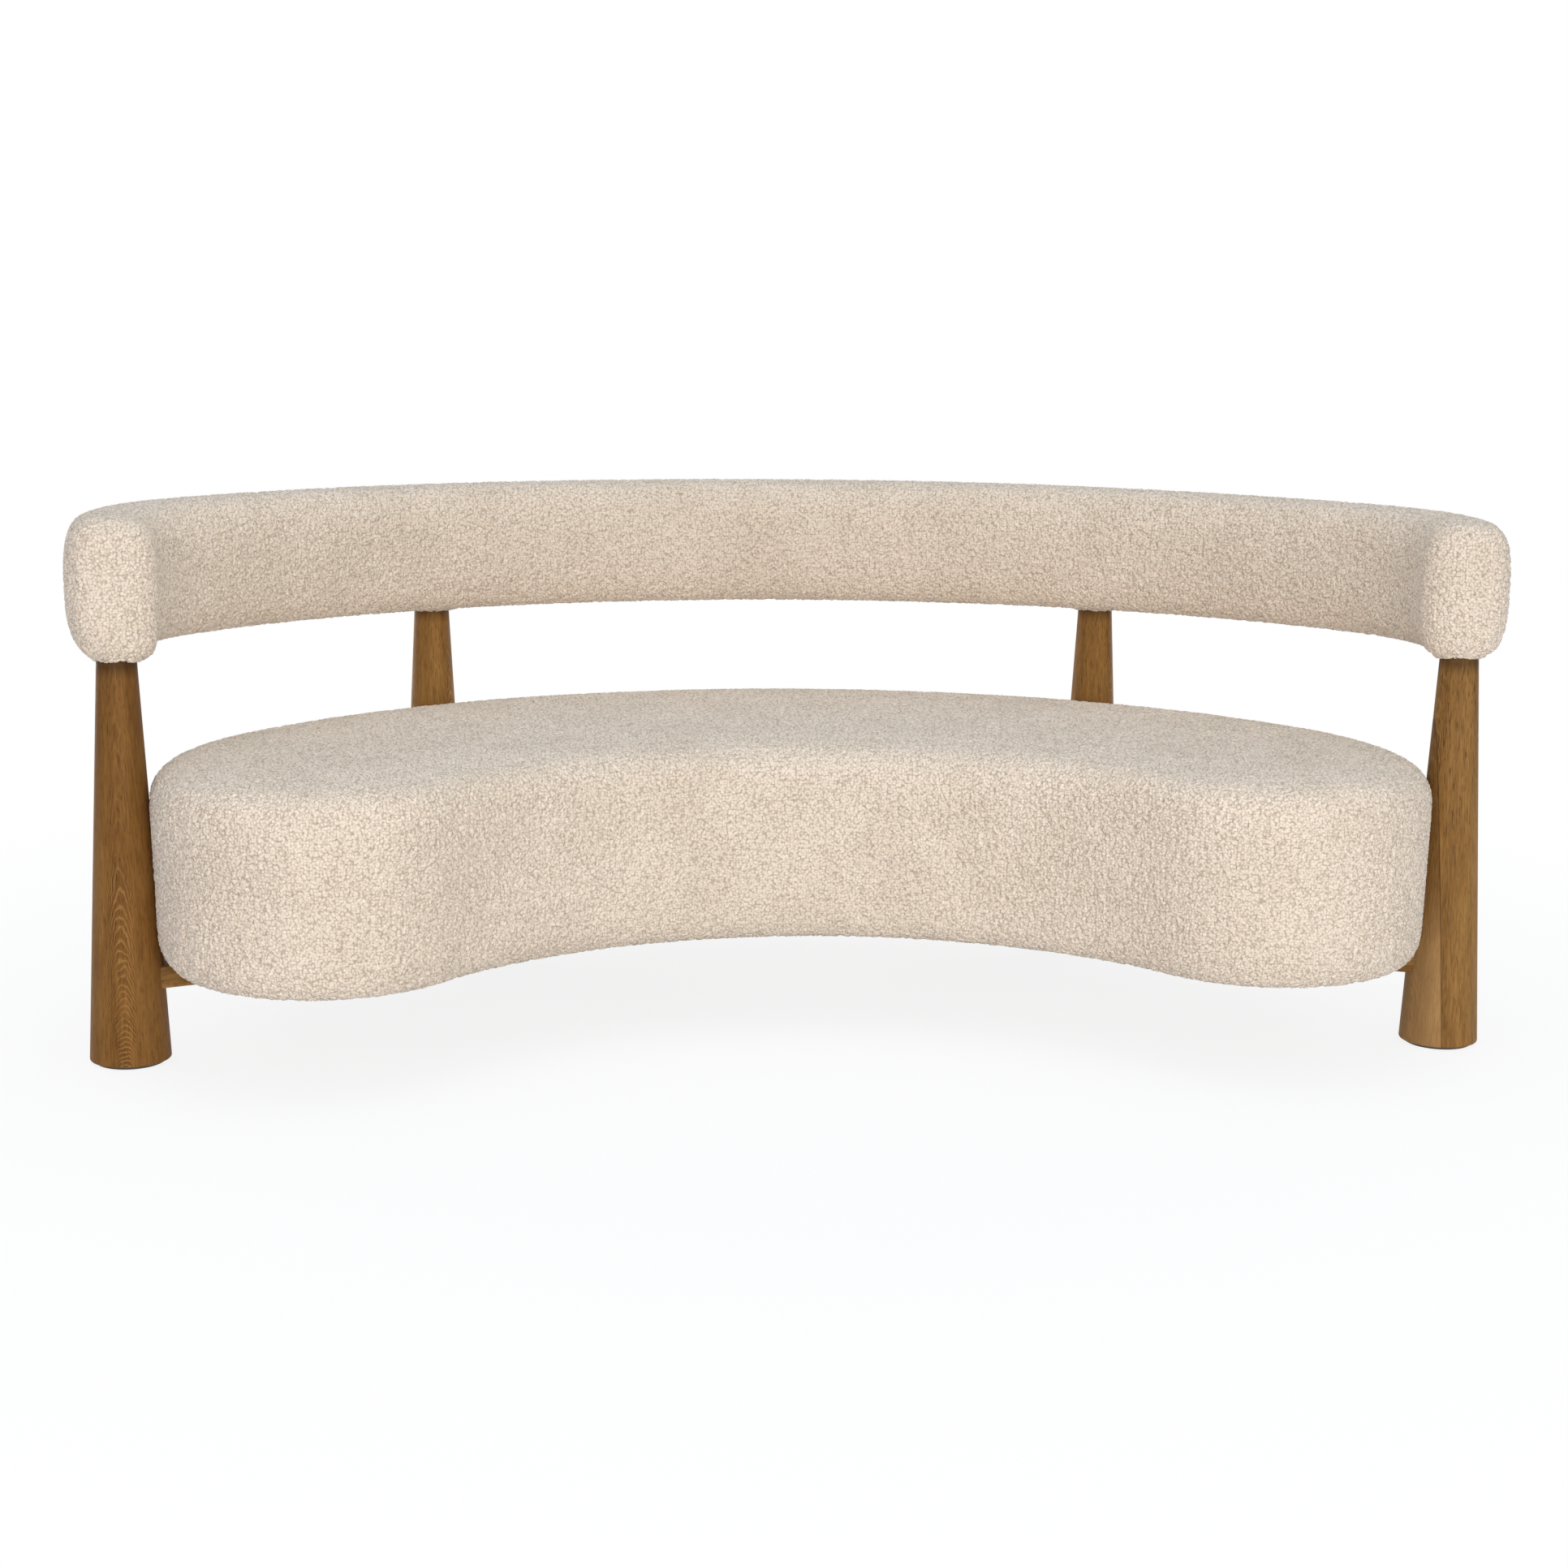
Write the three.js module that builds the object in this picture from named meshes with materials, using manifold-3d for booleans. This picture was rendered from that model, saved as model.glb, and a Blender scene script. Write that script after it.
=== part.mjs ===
import * as THREE from 'three';
import { mergeVertices } from 'three/addons/utils/BufferGeometryUtils.js';
import Module from 'manifold-3d';

// Curved sofa: a kidney-shaped upholstered seat inside a C-shaped upholstered back rail,
// carried by four tapered oak legs and two oak bars that cross under the seat.
// Millimetres, +Z up, the sitter faces -Y. Left and right are as seen from the front.

const wasm = await Module();
wasm.setup();

// Fits and cuts
const fitGap = 0.3;
const overrun = 5;
const roundSides = 24;
const smallSides = 10;

// Back rail: its centreline in plan is a long arc that turns tighter towards both ends
const railArcRadius = 1149;
const railArcDegrees = 52.7;
const railEndRadius = 370.5;
const railEndDegrees = 60.8;
const railArcSteps = 7;
const railEndSteps = 5;
const railThickness = 128;
const railHeight = 206;
const railUnderside = 584;
const railSquareness = 3.4;
const railSectionPoints = 12;
const railEndRounding = 30;
const railRoundingSteps = 3;

// Box beam inside the back rail
const boardWidth = 74;
const boardThickness = 24;
const skinThickness = 3;
const railPadding = 22;
const beamEndSetback = 20;
const blockLength = 90;

// Seat: an outline of four kinds of arc, mirrored left to right, the outer one inside the rail's arc
const seatArcInset = 105.5;
const seatOuterDegrees = 55;
const seatShoulderRadius = 465;
const seatShoulderDegrees = 56.8;
const seatLobeRadius = 237;
const seatMiddleDepth = 695.5;
const seatRearSetback = 6;
const seatUnderside = 143;
const seatTopEdge = 432.5;
const seatCrown = 11;
const seatCrownReach = 190;
const seatTopRounding = 48;
const seatBottomRounding = 40;
const seatSideTaper = 6.5;
const seatRoundingSteps = 3;
const outerArcSteps = 7;
const shoulderArcSteps = 5;
const lobeArcSteps = 7;
const frontArcSteps = 6;

// Seat layers
const coverThickness = 2;
const coverReturn = 45;
const dustCoverThickness = 1;
const panelInset = 62;
const basePanelThickness = 18;
const deckThickness = 15;
const deckFoamDepth = 110;
const skirtThickness = 6;
const ribThickness = 18;
const ribSpacing = 300;
const ribCount = 5;

// Legs
const legFootRadius = 58;
const legTopRadius = 27;
const legFootRounding = 4;
const legRoundingSteps = 2;
const frontLegSetback = 47;
const rearLegReach = 577.5;
const rearLegOffset = 18;

// Foot glides and their screws
const glideInset = 8;
const glideThickness = 4;
const glideScrewRadius = 2.5;
const glideScrewHeadRadius = 5;
const glideScrewLength = 32;
const glideScrewRecess = 1;

// Studs that join the legs to the back rail
const studRadius = 5;
const studLegDepth = 50;
const studBlockDepth = 20;

// Crossed bars under the seat, tenoned into the legs
const barWidth = 70;
const barHeight = 32;
const tenonWidth = 40;
const tenonHeight = 16;
const tenonDepth = 28;

// Bolts that hold the seat to the crossed bars
const boltRadius = 4;
const boltHeadRadius = 7.5;
const boltHeadHeight = 5.3;
const boltHeadSides = 6;
const washerRadius = 12;
const washerThickness = 1.6;
const teeNutFlangeRadius = 11;
const teeNutFlangeThickness = 1.6;
const teeNutBarrelRadius = 5.6;
const teeNutBarrelLength = 12;
const frontBoltReach = 600;
const rearBoltReach = 330;

// Sizes worked out from those above
const barTop = seatUnderside - fitGap;
const barUnderside = barTop - barHeight;
const basePanelBottom = seatUnderside + coverThickness + fitGap;
const basePanelTop = basePanelBottom + basePanelThickness;
const deckTop = seatTopEdge - coverThickness - fitGap - deckFoamDepth;
const deckBottom = deckTop - deckThickness;
const beamBottom = railUnderside + coverThickness + railPadding;
const beamTop = railUnderside + railHeight - coverThickness - railPadding;
const legTop = beamBottom - fitGap;
const glideRadius = legFootRadius - glideInset;
const glideScrewTop = glideScrewRecess + glideScrewLength;
const seatRear = railArcRadius - seatRearSetback;
const seatOuterRadius = railArcRadius - seatArcInset;
const railRear = railArcRadius + railThickness / 2;

// Materials

function surface(name, color, roughness, metalness) {
  const material = new THREE.MeshStandardMaterial({ color, roughness, metalness });
  material.name = name;
  return material;
}

function oak() {
  return surface('oak', 0x86623c, 0.6, 0);
}

function plywood() {
  return surface('plywood', 0xc9a877, 0.75, 0);
}

function hardboard() {
  return surface('hardboard', 0x7a5a3c, 0.8, 0);
}

function boucle() {
  return surface('boucle', 0xd8c8b4, 0.95, 0);
}

function foam() {
  return surface('foam', 0xe8dfb8, 0.9, 0);
}

function dustCloth() {
  return surface('dust_cloth', 0x26262a, 0.95, 0);
}

function zincSteel() {
  return surface('zinc_steel', 0xb4b6b8, 0.35, 1);
}

function glidePlastic() {
  return surface('glide_plastic', 0x2b2622, 0.7, 0);
}

// Solids and cuts

function signedVolume(geometry) {
  const points = geometry.attributes.position;
  const order = geometry.index.array;
  const a = new THREE.Vector3();
  const b = new THREE.Vector3();
  const c = new THREE.Vector3();
  let total = 0;
  for (let i = 0; i < order.length; i += 3) {
    a.fromBufferAttribute(points, order[i]);
    b.fromBufferAttribute(points, order[i + 1]);
    c.fromBufferAttribute(points, order[i + 2]);
    total += a.dot(b.cross(c));
  }
  return total;
}

// Merges shared corners and turns the faces outwards.
function closed(geometry) {
  const bare = geometry.clone();
  bare.deleteAttribute('normal');
  bare.deleteAttribute('uv');
  const merged = mergeVertices(bare);
  if (signedVolume(merged) < 0) merged.index.array.reverse();
  return merged;
}

function toSolid(geometry) {
  const merged = closed(geometry);
  const vertProperties = new Float32Array(merged.attributes.position.array);
  const triVerts = new Uint32Array(merged.index.array);
  return new wasm.Manifold(new wasm.Mesh({ numProp: 3, vertProperties, triVerts }));
}

function toGeometry(solid) {
  const mesh = solid.getMesh();
  const geometry = new THREE.BufferGeometry();
  geometry.setAttribute('position', new THREE.BufferAttribute(new Float32Array(mesh.vertProperties), 3));
  geometry.setIndex(new THREE.BufferAttribute(new Uint32Array(mesh.triVerts), 1));
  return geometry;
}

function cut(body, cutters) {
  return cutters.reduce((rest, cutter) => rest.subtract(cutter), body);
}

function piece(name, geometry, material) {
  const mesh = new THREE.Mesh(geometry, material);
  mesh.name = name;
  return mesh;
}

// Skins a row of matching rings; outline gives the rings' points in their own plane for the two caps.
function loft(rings, outline) {
  const count = outline.length;
  const positions = rings.flat().flatMap((point) => point.toArray());
  const order = [];
  for (let ring = 0; ring + 1 < rings.length; ring += 1) {
    for (let i = 0; i < count; i += 1) {
      const next = (i + 1) % count;
      const low = ring * count;
      const high = low + count;
      order.push(low + i, low + next, high + next, low + i, high + next, high + i);
    }
  }
  const last = (rings.length - 1) * count;
  for (const [a, b, c] of THREE.ShapeUtils.triangulateShape(outline, [])) {
    order.push(a, c, b, last + a, last + b, last + c);
  }
  const geometry = new THREE.BufferGeometry();
  geometry.setAttribute('position', new THREE.Float32BufferAttribute(positions, 3));
  geometry.setIndex(order);
  return geometry;
}

// A round body about +Z through (x, y), from a profile of [radius, height] pairs.
function turned(profile, sides, x, y) {
  const points = profile.map(([radius, height]) => new THREE.Vector2(radius, height));
  const geometry = new THREE.LatheGeometry(points, sides);
  geometry.rotateX(Math.PI / 2);
  geometry.translate(x, y, 0);
  return geometry;
}

function cylinder(radius, low, high, sides, x, y) {
  return turned([[0, low], [radius, low], [radius, high], [0, high]], sides, x, y);
}

function radians(degrees) {
  return THREE.MathUtils.degToRad(degrees);
}

// Points on an arc; angles are measured from +Y towards +X.
function arcPoints(centre, radius, from, to, steps) {
  const points = [];
  for (let step = 0; step <= steps; step += 1) {
    const angle = from + ((to - from) * step) / steps;
    const out = new THREE.Vector2(Math.sin(angle), Math.cos(angle));
    points.push({ at: centre.clone().addScaledVector(out, radius), out });
  }
  return points;
}

// Back rail centreline, worked from the centre of its long arc

function railStops() {
  const turn = radians(railArcDegrees);
  const middle = new THREE.Vector2(0, 0);
  const reach = railArcRadius - railEndRadius;
  const endCentre = new THREE.Vector2(Math.sin(turn), Math.cos(turn)).multiplyScalar(reach);
  const main = arcPoints(middle, railArcRadius, 0, turn, railArcSteps);
  const end = arcPoints(endCentre, railEndRadius, turn, turn + radians(railEndDegrees), railEndSteps);
  const right = [...main, ...end.slice(1)];
  let length = 0;
  right.forEach((stop, i) => {
    if (i > 0) length += stop.at.distanceTo(right[i - 1].at);
    stop.length = length;
  });
  const left = right.slice(1).reverse().map((stop) => ({
    at: new THREE.Vector2(-stop.at.x, stop.at.y),
    out: new THREE.Vector2(-stop.out.x, stop.out.y),
    length: -stop.length,
  }));
  return [...left, ...right];
}

const stops = railStops();
const railHalfLength = stops[stops.length - 1].length;

// The place on the centreline at a length from the middle, and the way out from the curve there.
function railPlace(length) {
  const found = stops.findIndex((stop) => stop.length >= length);
  const after = found < 0 ? stops.length - 1 : Math.max(found, 1);
  const a = stops[after - 1];
  const b = stops[after];
  const share = (length - a.length) / (b.length - a.length);
  return { at: a.at.clone().lerp(b.at, share), out: a.out.clone().lerp(b.out, share) };
}

function railRing(length, section) {
  const { at, out } = railPlace(length);
  return section.map(({ x, y }) => new THREE.Vector3(at.x + out.x * x, at.y + out.y * x, y));
}

// Sweeps a section of (outwards, height) points along the rail between two lengths.
function railSweep(section, from, to) {
  const between = stops.map((stop) => stop.length).filter((length) => length > from && length < to);
  const rings = [from, ...between, to].map((length) => railRing(length, section));
  return loft(rings, section);
}

function rectangle(left, right, low, high) {
  const corners = [[left, low], [right, low], [right, high], [left, high]];
  return corners.map(([x, y]) => new THREE.Vector2(x, y));
}

// The rail's squarish round section, drawn in by an inset.
function railSection(inset) {
  const halfWidth = railThickness / 2 - inset;
  const halfHeight = railHeight / 2 - inset;
  const middle = railUnderside + railHeight / 2;
  const power = 2 / railSquareness;
  const points = [];
  for (let i = 0; i < railSectionPoints; i += 1) {
    const angle = (2 * Math.PI * i) / railSectionPoints;
    const x = Math.sign(Math.cos(angle)) * Math.abs(Math.cos(angle)) ** power;
    const y = Math.sign(Math.sin(angle)) * Math.abs(Math.sin(angle)) ** power;
    points.push(new THREE.Vector2(halfWidth * x, middle + halfHeight * y));
  }
  return points;
}

// The whole upholstered rail drawn in by an inset, with its rounded ends.
function railBody(inset) {
  const rounding = railEndRounding - inset;
  const shoulder = railHalfLength - railEndRounding;
  const ends = [];
  for (let step = 0; step <= railRoundingSteps; step += 1) {
    const angle = (Math.PI / 2) * (step / railRoundingSteps);
    const drawn = inset + rounding * (1 - Math.cos(angle));
    ends.push({ length: shoulder + rounding * Math.sin(angle), section: railSection(drawn) });
  }
  const full = railSection(inset);
  const lengths = stops.map((stop) => stop.length).filter((length) => Math.abs(length) < shoulder);
  const rings = [
    ...ends.slice().reverse().map(({ length, section }) => railRing(-length, section)),
    ...lengths.map((length) => railRing(length, full)),
    ...ends.map(({ length, section }) => railRing(length, section)),
  ];
  return loft(rings, full);
}

// Legs stand under the rail

// A leg's place: its length along the centreline and how far it stands behind it.
function legPlace(length, offset) {
  const { at, out } = railPlace(length);
  return at.addScaledVector(out, offset);
}

const frontLegLength = railHalfLength - frontLegSetback;
const legPlaces = {
  front_left: legPlace(-frontLegLength, 0),
  front_right: legPlace(frontLegLength, 0),
  rear_left: legPlace(-rearLegReach, rearLegOffset),
  rear_right: legPlace(rearLegReach, rearLegOffset),
};

function legRadiusAt(height) {
  const share = (height - glideThickness) / (legTop - glideThickness);
  return legFootRadius + (legTopRadius - legFootRadius) * share;
}

// The leg's cone made larger all round, long enough to pass through its neighbours.
function legSleeve(place, gap) {
  const low = glideThickness - overrun;
  const high = legTop + overrun;
  const profile = [[0, low], [legRadiusAt(low) + gap, low], [legRadiusAt(high) + gap, high], [0, high]];
  return toSolid(turned(profile, roundSides, place.x, place.y));
}

// Seat outline, counter-clockwise from above, with the way out at each point

function seatOutline() {
  const outerTurn = radians(seatOuterDegrees);
  const shoulderTurn = outerTurn + radians(seatShoulderDegrees);
  const outerCentre = new THREE.Vector2(0, seatRear - seatOuterRadius);
  const wayTo = (angle) => new THREE.Vector2(Math.sin(angle), Math.cos(angle));
  const shoulderCentre = outerCentre.clone()
    .addScaledVector(wayTo(outerTurn), seatOuterRadius - seatShoulderRadius);
  const lobeCentre = shoulderCentre.clone()
    .addScaledVector(wayTo(shoulderTurn), seatShoulderRadius - seatLobeRadius);
  const frontMiddle = seatRear - seatMiddleDepth;
  const forward = lobeCentre.y - frontMiddle;
  const frontRadius = (lobeCentre.x ** 2 + forward ** 2 - seatLobeRadius ** 2) / (2 * (seatLobeRadius - forward));
  const frontCentre = new THREE.Vector2(0, frontMiddle - frontRadius);
  const frontTurn = Math.atan2(lobeCentre.x, lobeCentre.y - frontCentre.y);
  const front = arcPoints(frontCentre, frontRadius, frontTurn, 0, frontArcSteps);
  front.forEach((point) => point.out.negate());
  const right = [
    ...arcPoints(outerCentre, seatOuterRadius, 0, outerTurn, outerArcSteps),
    ...arcPoints(shoulderCentre, seatShoulderRadius, outerTurn, shoulderTurn, shoulderArcSteps).slice(1),
    ...arcPoints(lobeCentre, seatLobeRadius, shoulderTurn, Math.PI + frontTurn, lobeArcSteps).slice(1),
    ...front.slice(1),
  ];
  const left = right.slice(1, -1).map(({ at, out }) => ({
    at: new THREE.Vector2(-at.x, at.y),
    out: new THREE.Vector2(-out.x, out.y),
  }));
  return [...left, right[right.length - 1], ...right.slice(0, -1).reverse()];
}

const outline = seatOutline();
const seatFront = Math.min(...outline.map(({ at }) => at.y));

function seatRing(inset, height) {
  return outline.map(({ at, out }) => {
    const point = at.clone().addScaledVector(out, -inset);
    return new THREE.Vector3(point.x, point.y, height);
  });
}

function seatLoft(levels) {
  const flat = levels.map(([inset, height]) => seatRing(inset, height));
  return loft(flat, outline.map(({ at }) => at));
}

// A flat slab with the seat's outline, drawn in by an inset.
function seatSlab(inset, low, high) {
  return toSolid(seatLoft([[inset, low], [inset, high]]));
}

// The whole upholstered seat drawn in by an inset: rounded edges, drawn-in sides and a crowned top,
// hollowed where a leg presses against it.
function seatBody(inset) {
  const levels = [];
  const widest = seatTopEdge - seatTopRounding;
  const addLevel = (drawn, level) => {
    const share = Math.max(widest - level, 0) / (widest - seatUnderside);
    levels.push([drawn + seatSideTaper * share, level]);
  };
  for (let step = 0; step <= seatRoundingSteps; step += 1) {
    const angle = (Math.PI / 2) * (step / seatRoundingSteps);
    const radius = seatBottomRounding - inset;
    const level = seatUnderside + seatBottomRounding - radius * Math.cos(angle);
    addLevel(seatBottomRounding - radius * Math.sin(angle), level);
  }
  for (let step = 0; step <= seatRoundingSteps; step += 1) {
    const angle = (Math.PI / 2) * (step / seatRoundingSteps);
    const radius = seatTopRounding - inset;
    const level = seatTopEdge - seatTopRounding + radius * Math.sin(angle);
    addLevel(seatTopRounding - radius * Math.cos(angle), level);
  }
  levels.push([seatCrownReach, seatTopEdge + seatCrown - inset]);
  const sleeves = Object.values(legPlaces).map((place) => legSleeve(place, fitGap + inset));
  return cut(toSolid(seatLoft(levels)), sleeves);
}

// Crossed bars

function barLine(side) {
  const front = legPlaces[`front_${side}`];
  const rear = legPlaces[side === 'left' ? 'rear_right' : 'rear_left'];
  const along = rear.clone().sub(front).normalize();
  return { front, rear, along, length: front.distanceTo(rear) };
}

// Where the two bars cross, on the sofa's middle plane.
function barCrossing() {
  const { front, along } = barLine('right');
  return front.clone().addScaledVector(along, -front.x / along.x);
}

const crossing = barCrossing();

// A box along a line in plan: from and to are measured from the line's front end.
function barBox({ front, along }, from, to, width, low, high) {
  const geometry = new THREE.BoxGeometry(to - from, width, high - low);
  geometry.rotateZ(Math.atan2(along.y, along.x));
  const middle = front.clone().addScaledVector(along, (from + to) / 2);
  geometry.translate(middle.x, middle.y, (low + high) / 2);
  return toSolid(geometry);
}

const barMiddle = (barTop + barUnderside) / 2;

// The tenon at one end of a bar, made larger all round by a gap.
function tenon(line, atRear, gap) {
  const inner = legRadiusAt(barMiddle) - tenonDepth - gap;
  const outer = legRadiusAt(barMiddle) + overrun;
  const from = atRear ? line.length - outer : inner;
  const to = atRear ? line.length - inner : outer;
  const low = barMiddle - tenonHeight / 2 - gap;
  const high = barMiddle + tenonHeight / 2 + gap;
  return barBox(line, from, to, tenonWidth + 2 * gap, low, high);
}

function boltPlaces() {
  const toward = (side, reach) => {
    const { along } = barLine(side);
    return crossing.clone().addScaledVector(along, reach);
  };
  return {
    centre: crossing,
    front_left: toward('left', -frontBoltReach),
    front_right: toward('right', -frontBoltReach),
    rear_left: toward('right', rearBoltReach),
    rear_right: toward('left', rearBoltReach),
  };
}

function crossBar(side) {
  const line = barLine(side);
  const other = barLine(side === 'left' ? 'right' : 'left');
  const legSurface = legRadiusAt(barMiddle);
  const end = Math.sqrt(legSurface ** 2 - (barWidth / 2) ** 2);
  const bar = barBox(line, end, line.length - end, barWidth, barUnderside, barTop);
  const sleeves = Object.values(legPlaces).map((place) => legSleeve(place, fitGap));
  const isUpper = side === 'right';
  const lapLow = isUpper ? barUnderside - overrun : barMiddle - fitGap / 2;
  const lapHigh = isUpper ? barMiddle + fitGap / 2 : barTop + overrun;
  const lap = barBox(other, 0, other.length, barWidth + 2 * fitGap, lapLow, lapHigh);
  const bores = Object.values(boltPlaces()).map(({ x, y }) => toSolid(
    cylinder(boltRadius + fitGap, barUnderside - overrun, barTop + overrun, smallSides, x, y),
  ));
  const body = cut(bar, [...sleeves, lap]);
  const whole = body.add(tenon(line, false, 0)).add(tenon(line, true, 0));
  return piece(`cross_bar_${side}`, toGeometry(cut(whole, bores)), oak());
}

// Legs, glides and studs

function legBody(name, place) {
  const rounded = [];
  for (let step = 0; step <= legRoundingSteps; step += 1) {
    const angle = (Math.PI / 2) * (step / legRoundingSteps);
    const radius = legFootRadius - legFootRounding * (1 - Math.sin(angle));
    rounded.push([radius, glideThickness + fitGap + legFootRounding * (1 - Math.cos(angle))]);
  }
  const low = glideThickness + fitGap;
  const profile = [[0, low], ...rounded, [legTopRadius, legTop], [0, legTop]];
  const body = toSolid(turned(profile, roundSides, place.x, place.y));
  const isRear = name.startsWith('rear');
  const isLeft = name.endsWith('left');
  const barSide = isRear === isLeft ? 'right' : 'left';
  const mortise = tenon(barLine(barSide), isRear, fitGap);
  const studBore = cylinder(
    studRadius + fitGap, legTop - studLegDepth - fitGap, legTop + overrun, smallSides, place.x, place.y,
  );
  const screwBore = cylinder(
    glideScrewRadius + fitGap, glideThickness - overrun, glideScrewTop + fitGap, smallSides, place.x, place.y,
  );
  const whole = cut(body, [mortise, toSolid(studBore), toSolid(screwBore)]);
  return piece(`leg_${name}`, toGeometry(whole), oak());
}

// A flat-bottomed disc with a countersunk hole.
function glide(name, place) {
  const bore = glideScrewRadius + fitGap;
  const sink = glideScrewHeadRadius + fitGap;
  const profile = [
    [sink, 0], [glideRadius, 0], [glideRadius, glideThickness],
    [bore, glideThickness], [bore, sink - bore], [sink, 0],
  ];
  return piece(`glide_${name}`, closed(turned(profile, roundSides, place.x, place.y)), glidePlastic());
}

function glideScrew(name, place) {
  const headRadius = glideScrewHeadRadius - glideScrewRecess;
  const neck = glideScrewHeadRadius - glideScrewRadius;
  const profile = [
    [0, glideScrewRecess], [headRadius, glideScrewRecess], [glideScrewRadius, neck],
    [glideScrewRadius, glideScrewTop], [0, glideScrewTop],
  ];
  return piece(`glide_screw_${name}`, closed(turned(profile, smallSides, place.x, place.y)), zincSteel());
}

function legStud(name, place) {
  const low = legTop - studLegDepth;
  const high = beamBottom + boardThickness + studBlockDepth;
  const geometry = cylinder(studRadius, low, high, smallSides, place.x, place.y);
  return piece(`leg_stud_${name}`, closed(geometry), zincSteel());
}

function studBore(place) {
  const high = beamBottom + boardThickness + studBlockDepth + fitGap;
  return toSolid(cylinder(studRadius + fitGap, beamBottom - overrun, high, smallSides, place.x, place.y));
}

function legGroup() {
  const group = new THREE.Group();
  for (const [name, place] of Object.entries(legPlaces)) {
    group.add(legBody(name, place));
    group.add(glide(name, place));
    group.add(glideScrew(name, place));
    group.add(legStud(name, place));
  }
  return group;
}

// Bolts, washers and tee nuts

function frameBolt(name, { x, y }) {
  const headTop = barUnderside - washerThickness - 2 * fitGap;
  const tip = basePanelTop + teeNutFlangeThickness;
  const head = toSolid(cylinder(boltHeadRadius, headTop - boltHeadHeight, headTop, boltHeadSides, x, y));
  const shank = toSolid(cylinder(boltRadius, headTop - boltHeadHeight / 2, tip, smallSides, x, y));
  return piece(`frame_bolt_${name}`, toGeometry(head.add(shank)), zincSteel());
}

function frameWasher(name, { x, y }) {
  const high = barUnderside - fitGap;
  const low = high - washerThickness;
  const bore = boltRadius + fitGap;
  const profile = [[bore, low], [washerRadius, low], [washerRadius, high], [bore, high], [bore, low]];
  return piece(`frame_washer_${name}`, closed(turned(profile, smallSides, x, y)), zincSteel());
}

function teeNut(name, { x, y }) {
  const bore = boltRadius + fitGap;
  const seat = basePanelTop + fitGap;
  const high = seat + teeNutFlangeThickness;
  const low = seat - teeNutBarrelLength;
  const profile = [
    [bore, low], [teeNutBarrelRadius, low], [teeNutBarrelRadius, seat],
    [teeNutFlangeRadius, seat], [teeNutFlangeRadius, high], [bore, high], [bore, low],
  ];
  return piece(`tee_nut_${name}`, closed(turned(profile, smallSides, x, y)), zincSteel());
}

function underframe() {
  const group = new THREE.Group();
  group.add(crossBar('left'), crossBar('right'));
  for (const [name, place] of Object.entries(boltPlaces())) {
    group.add(frameBolt(name, place));
    group.add(frameWasher(name, place));
    group.add(teeNut(name, place));
  }
  return group;
}

// Seat pieces

function boltBores(radius, low, high) {
  return Object.values(boltPlaces()).map(({ x, y }) => toSolid(cylinder(radius, low, high, smallSides, x, y)));
}

function seatBasePanel() {
  const panel = seatSlab(panelInset, basePanelBottom, basePanelTop);
  const bores = boltBores(teeNutBarrelRadius + fitGap, basePanelBottom - overrun, basePanelTop + overrun);
  return piece('seat_base_panel', toGeometry(cut(panel, bores)), plywood());
}

function seatDeck() {
  return piece('seat_deck', toGeometry(seatSlab(panelInset, deckBottom, deckTop)), plywood());
}

// The bent plywood wall between the base panel and the deck.
function seatSkirt() {
  const low = basePanelTop + fitGap;
  const high = deckBottom - fitGap;
  const outer = seatSlab(panelInset, low, high);
  const inner = seatSlab(panelInset + skirtThickness, low - overrun, high + overrun);
  return piece('seat_skirt', toGeometry(outer.subtract(inner)), plywood());
}

// Upright ribs that run front to back and stop at the skirt.
function seatRibs() {
  const group = new THREE.Group();
  const low = basePanelTop + fitGap;
  const high = deckBottom - fitGap;
  const inside = seatSlab(panelInset + skirtThickness + fitGap, low, high);
  const depth = seatRear - seatFront;
  const notches = Object.values(boltPlaces()).map(({ x, y }) => toSolid(cylinder(
    teeNutFlangeRadius + fitGap, low - overrun, low + teeNutFlangeRadius, smallSides, x, y,
  )));
  for (let i = 0; i < ribCount; i += 1) {
    const x = (i - (ribCount - 1) / 2) * ribSpacing;
    const board = new THREE.BoxGeometry(ribThickness, depth, high - low);
    board.translate(x, (seatRear + seatFront) / 2, (low + high) / 2);
    const rib = cut(toSolid(board).intersect(inside), notches);
    group.add(piece(`seat_rib_${i + 1}`, toGeometry(rib), plywood()));
  }
  return group;
}

// One foam cap that covers the deck and the frame's sides.
function seatFoam() {
  const below = seatSlab(0, seatUnderside - overrun, basePanelBottom);
  const recess = seatSlab(panelInset - fitGap, seatUnderside - overrun, deckTop + fitGap);
  const body = cut(seatBody(coverThickness + fitGap), [below, recess]);
  return piece('seat_foam', toGeometry(body), foam());
}

// The fabric skin, turned under the base panel all round.
function seatCover() {
  const mouthInset = seatBottomRounding + seatSideTaper + coverReturn;
  const mouth = seatSlab(mouthInset, seatUnderside - overrun, basePanelBottom);
  const body = cut(seatBody(0), [seatBody(coverThickness), mouth]);
  return piece('seat_cover', toGeometry(body), boucle());
}

function seatDustCover() {
  const mouthInset = seatBottomRounding + seatSideTaper + coverReturn;
  const high = basePanelBottom - fitGap;
  const low = high - dustCoverThickness;
  const sheet = seatSlab(mouthInset + fitGap, low, high);
  const bores = boltBores(boltRadius + fitGap, low - overrun, high + overrun);
  return piece('seat_dust_cover', toGeometry(cut(sheet, bores)), dustCloth());
}

function seatGroup() {
  const group = new THREE.Group();
  group.add(seatBasePanel(), seatSkirt(), seatRibs(), seatDeck());
  group.add(seatFoam(), seatCover(), seatDustCover());
  return group;
}

// Back rail pieces

const beamEnd = railHalfLength - beamEndSetback;

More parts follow.
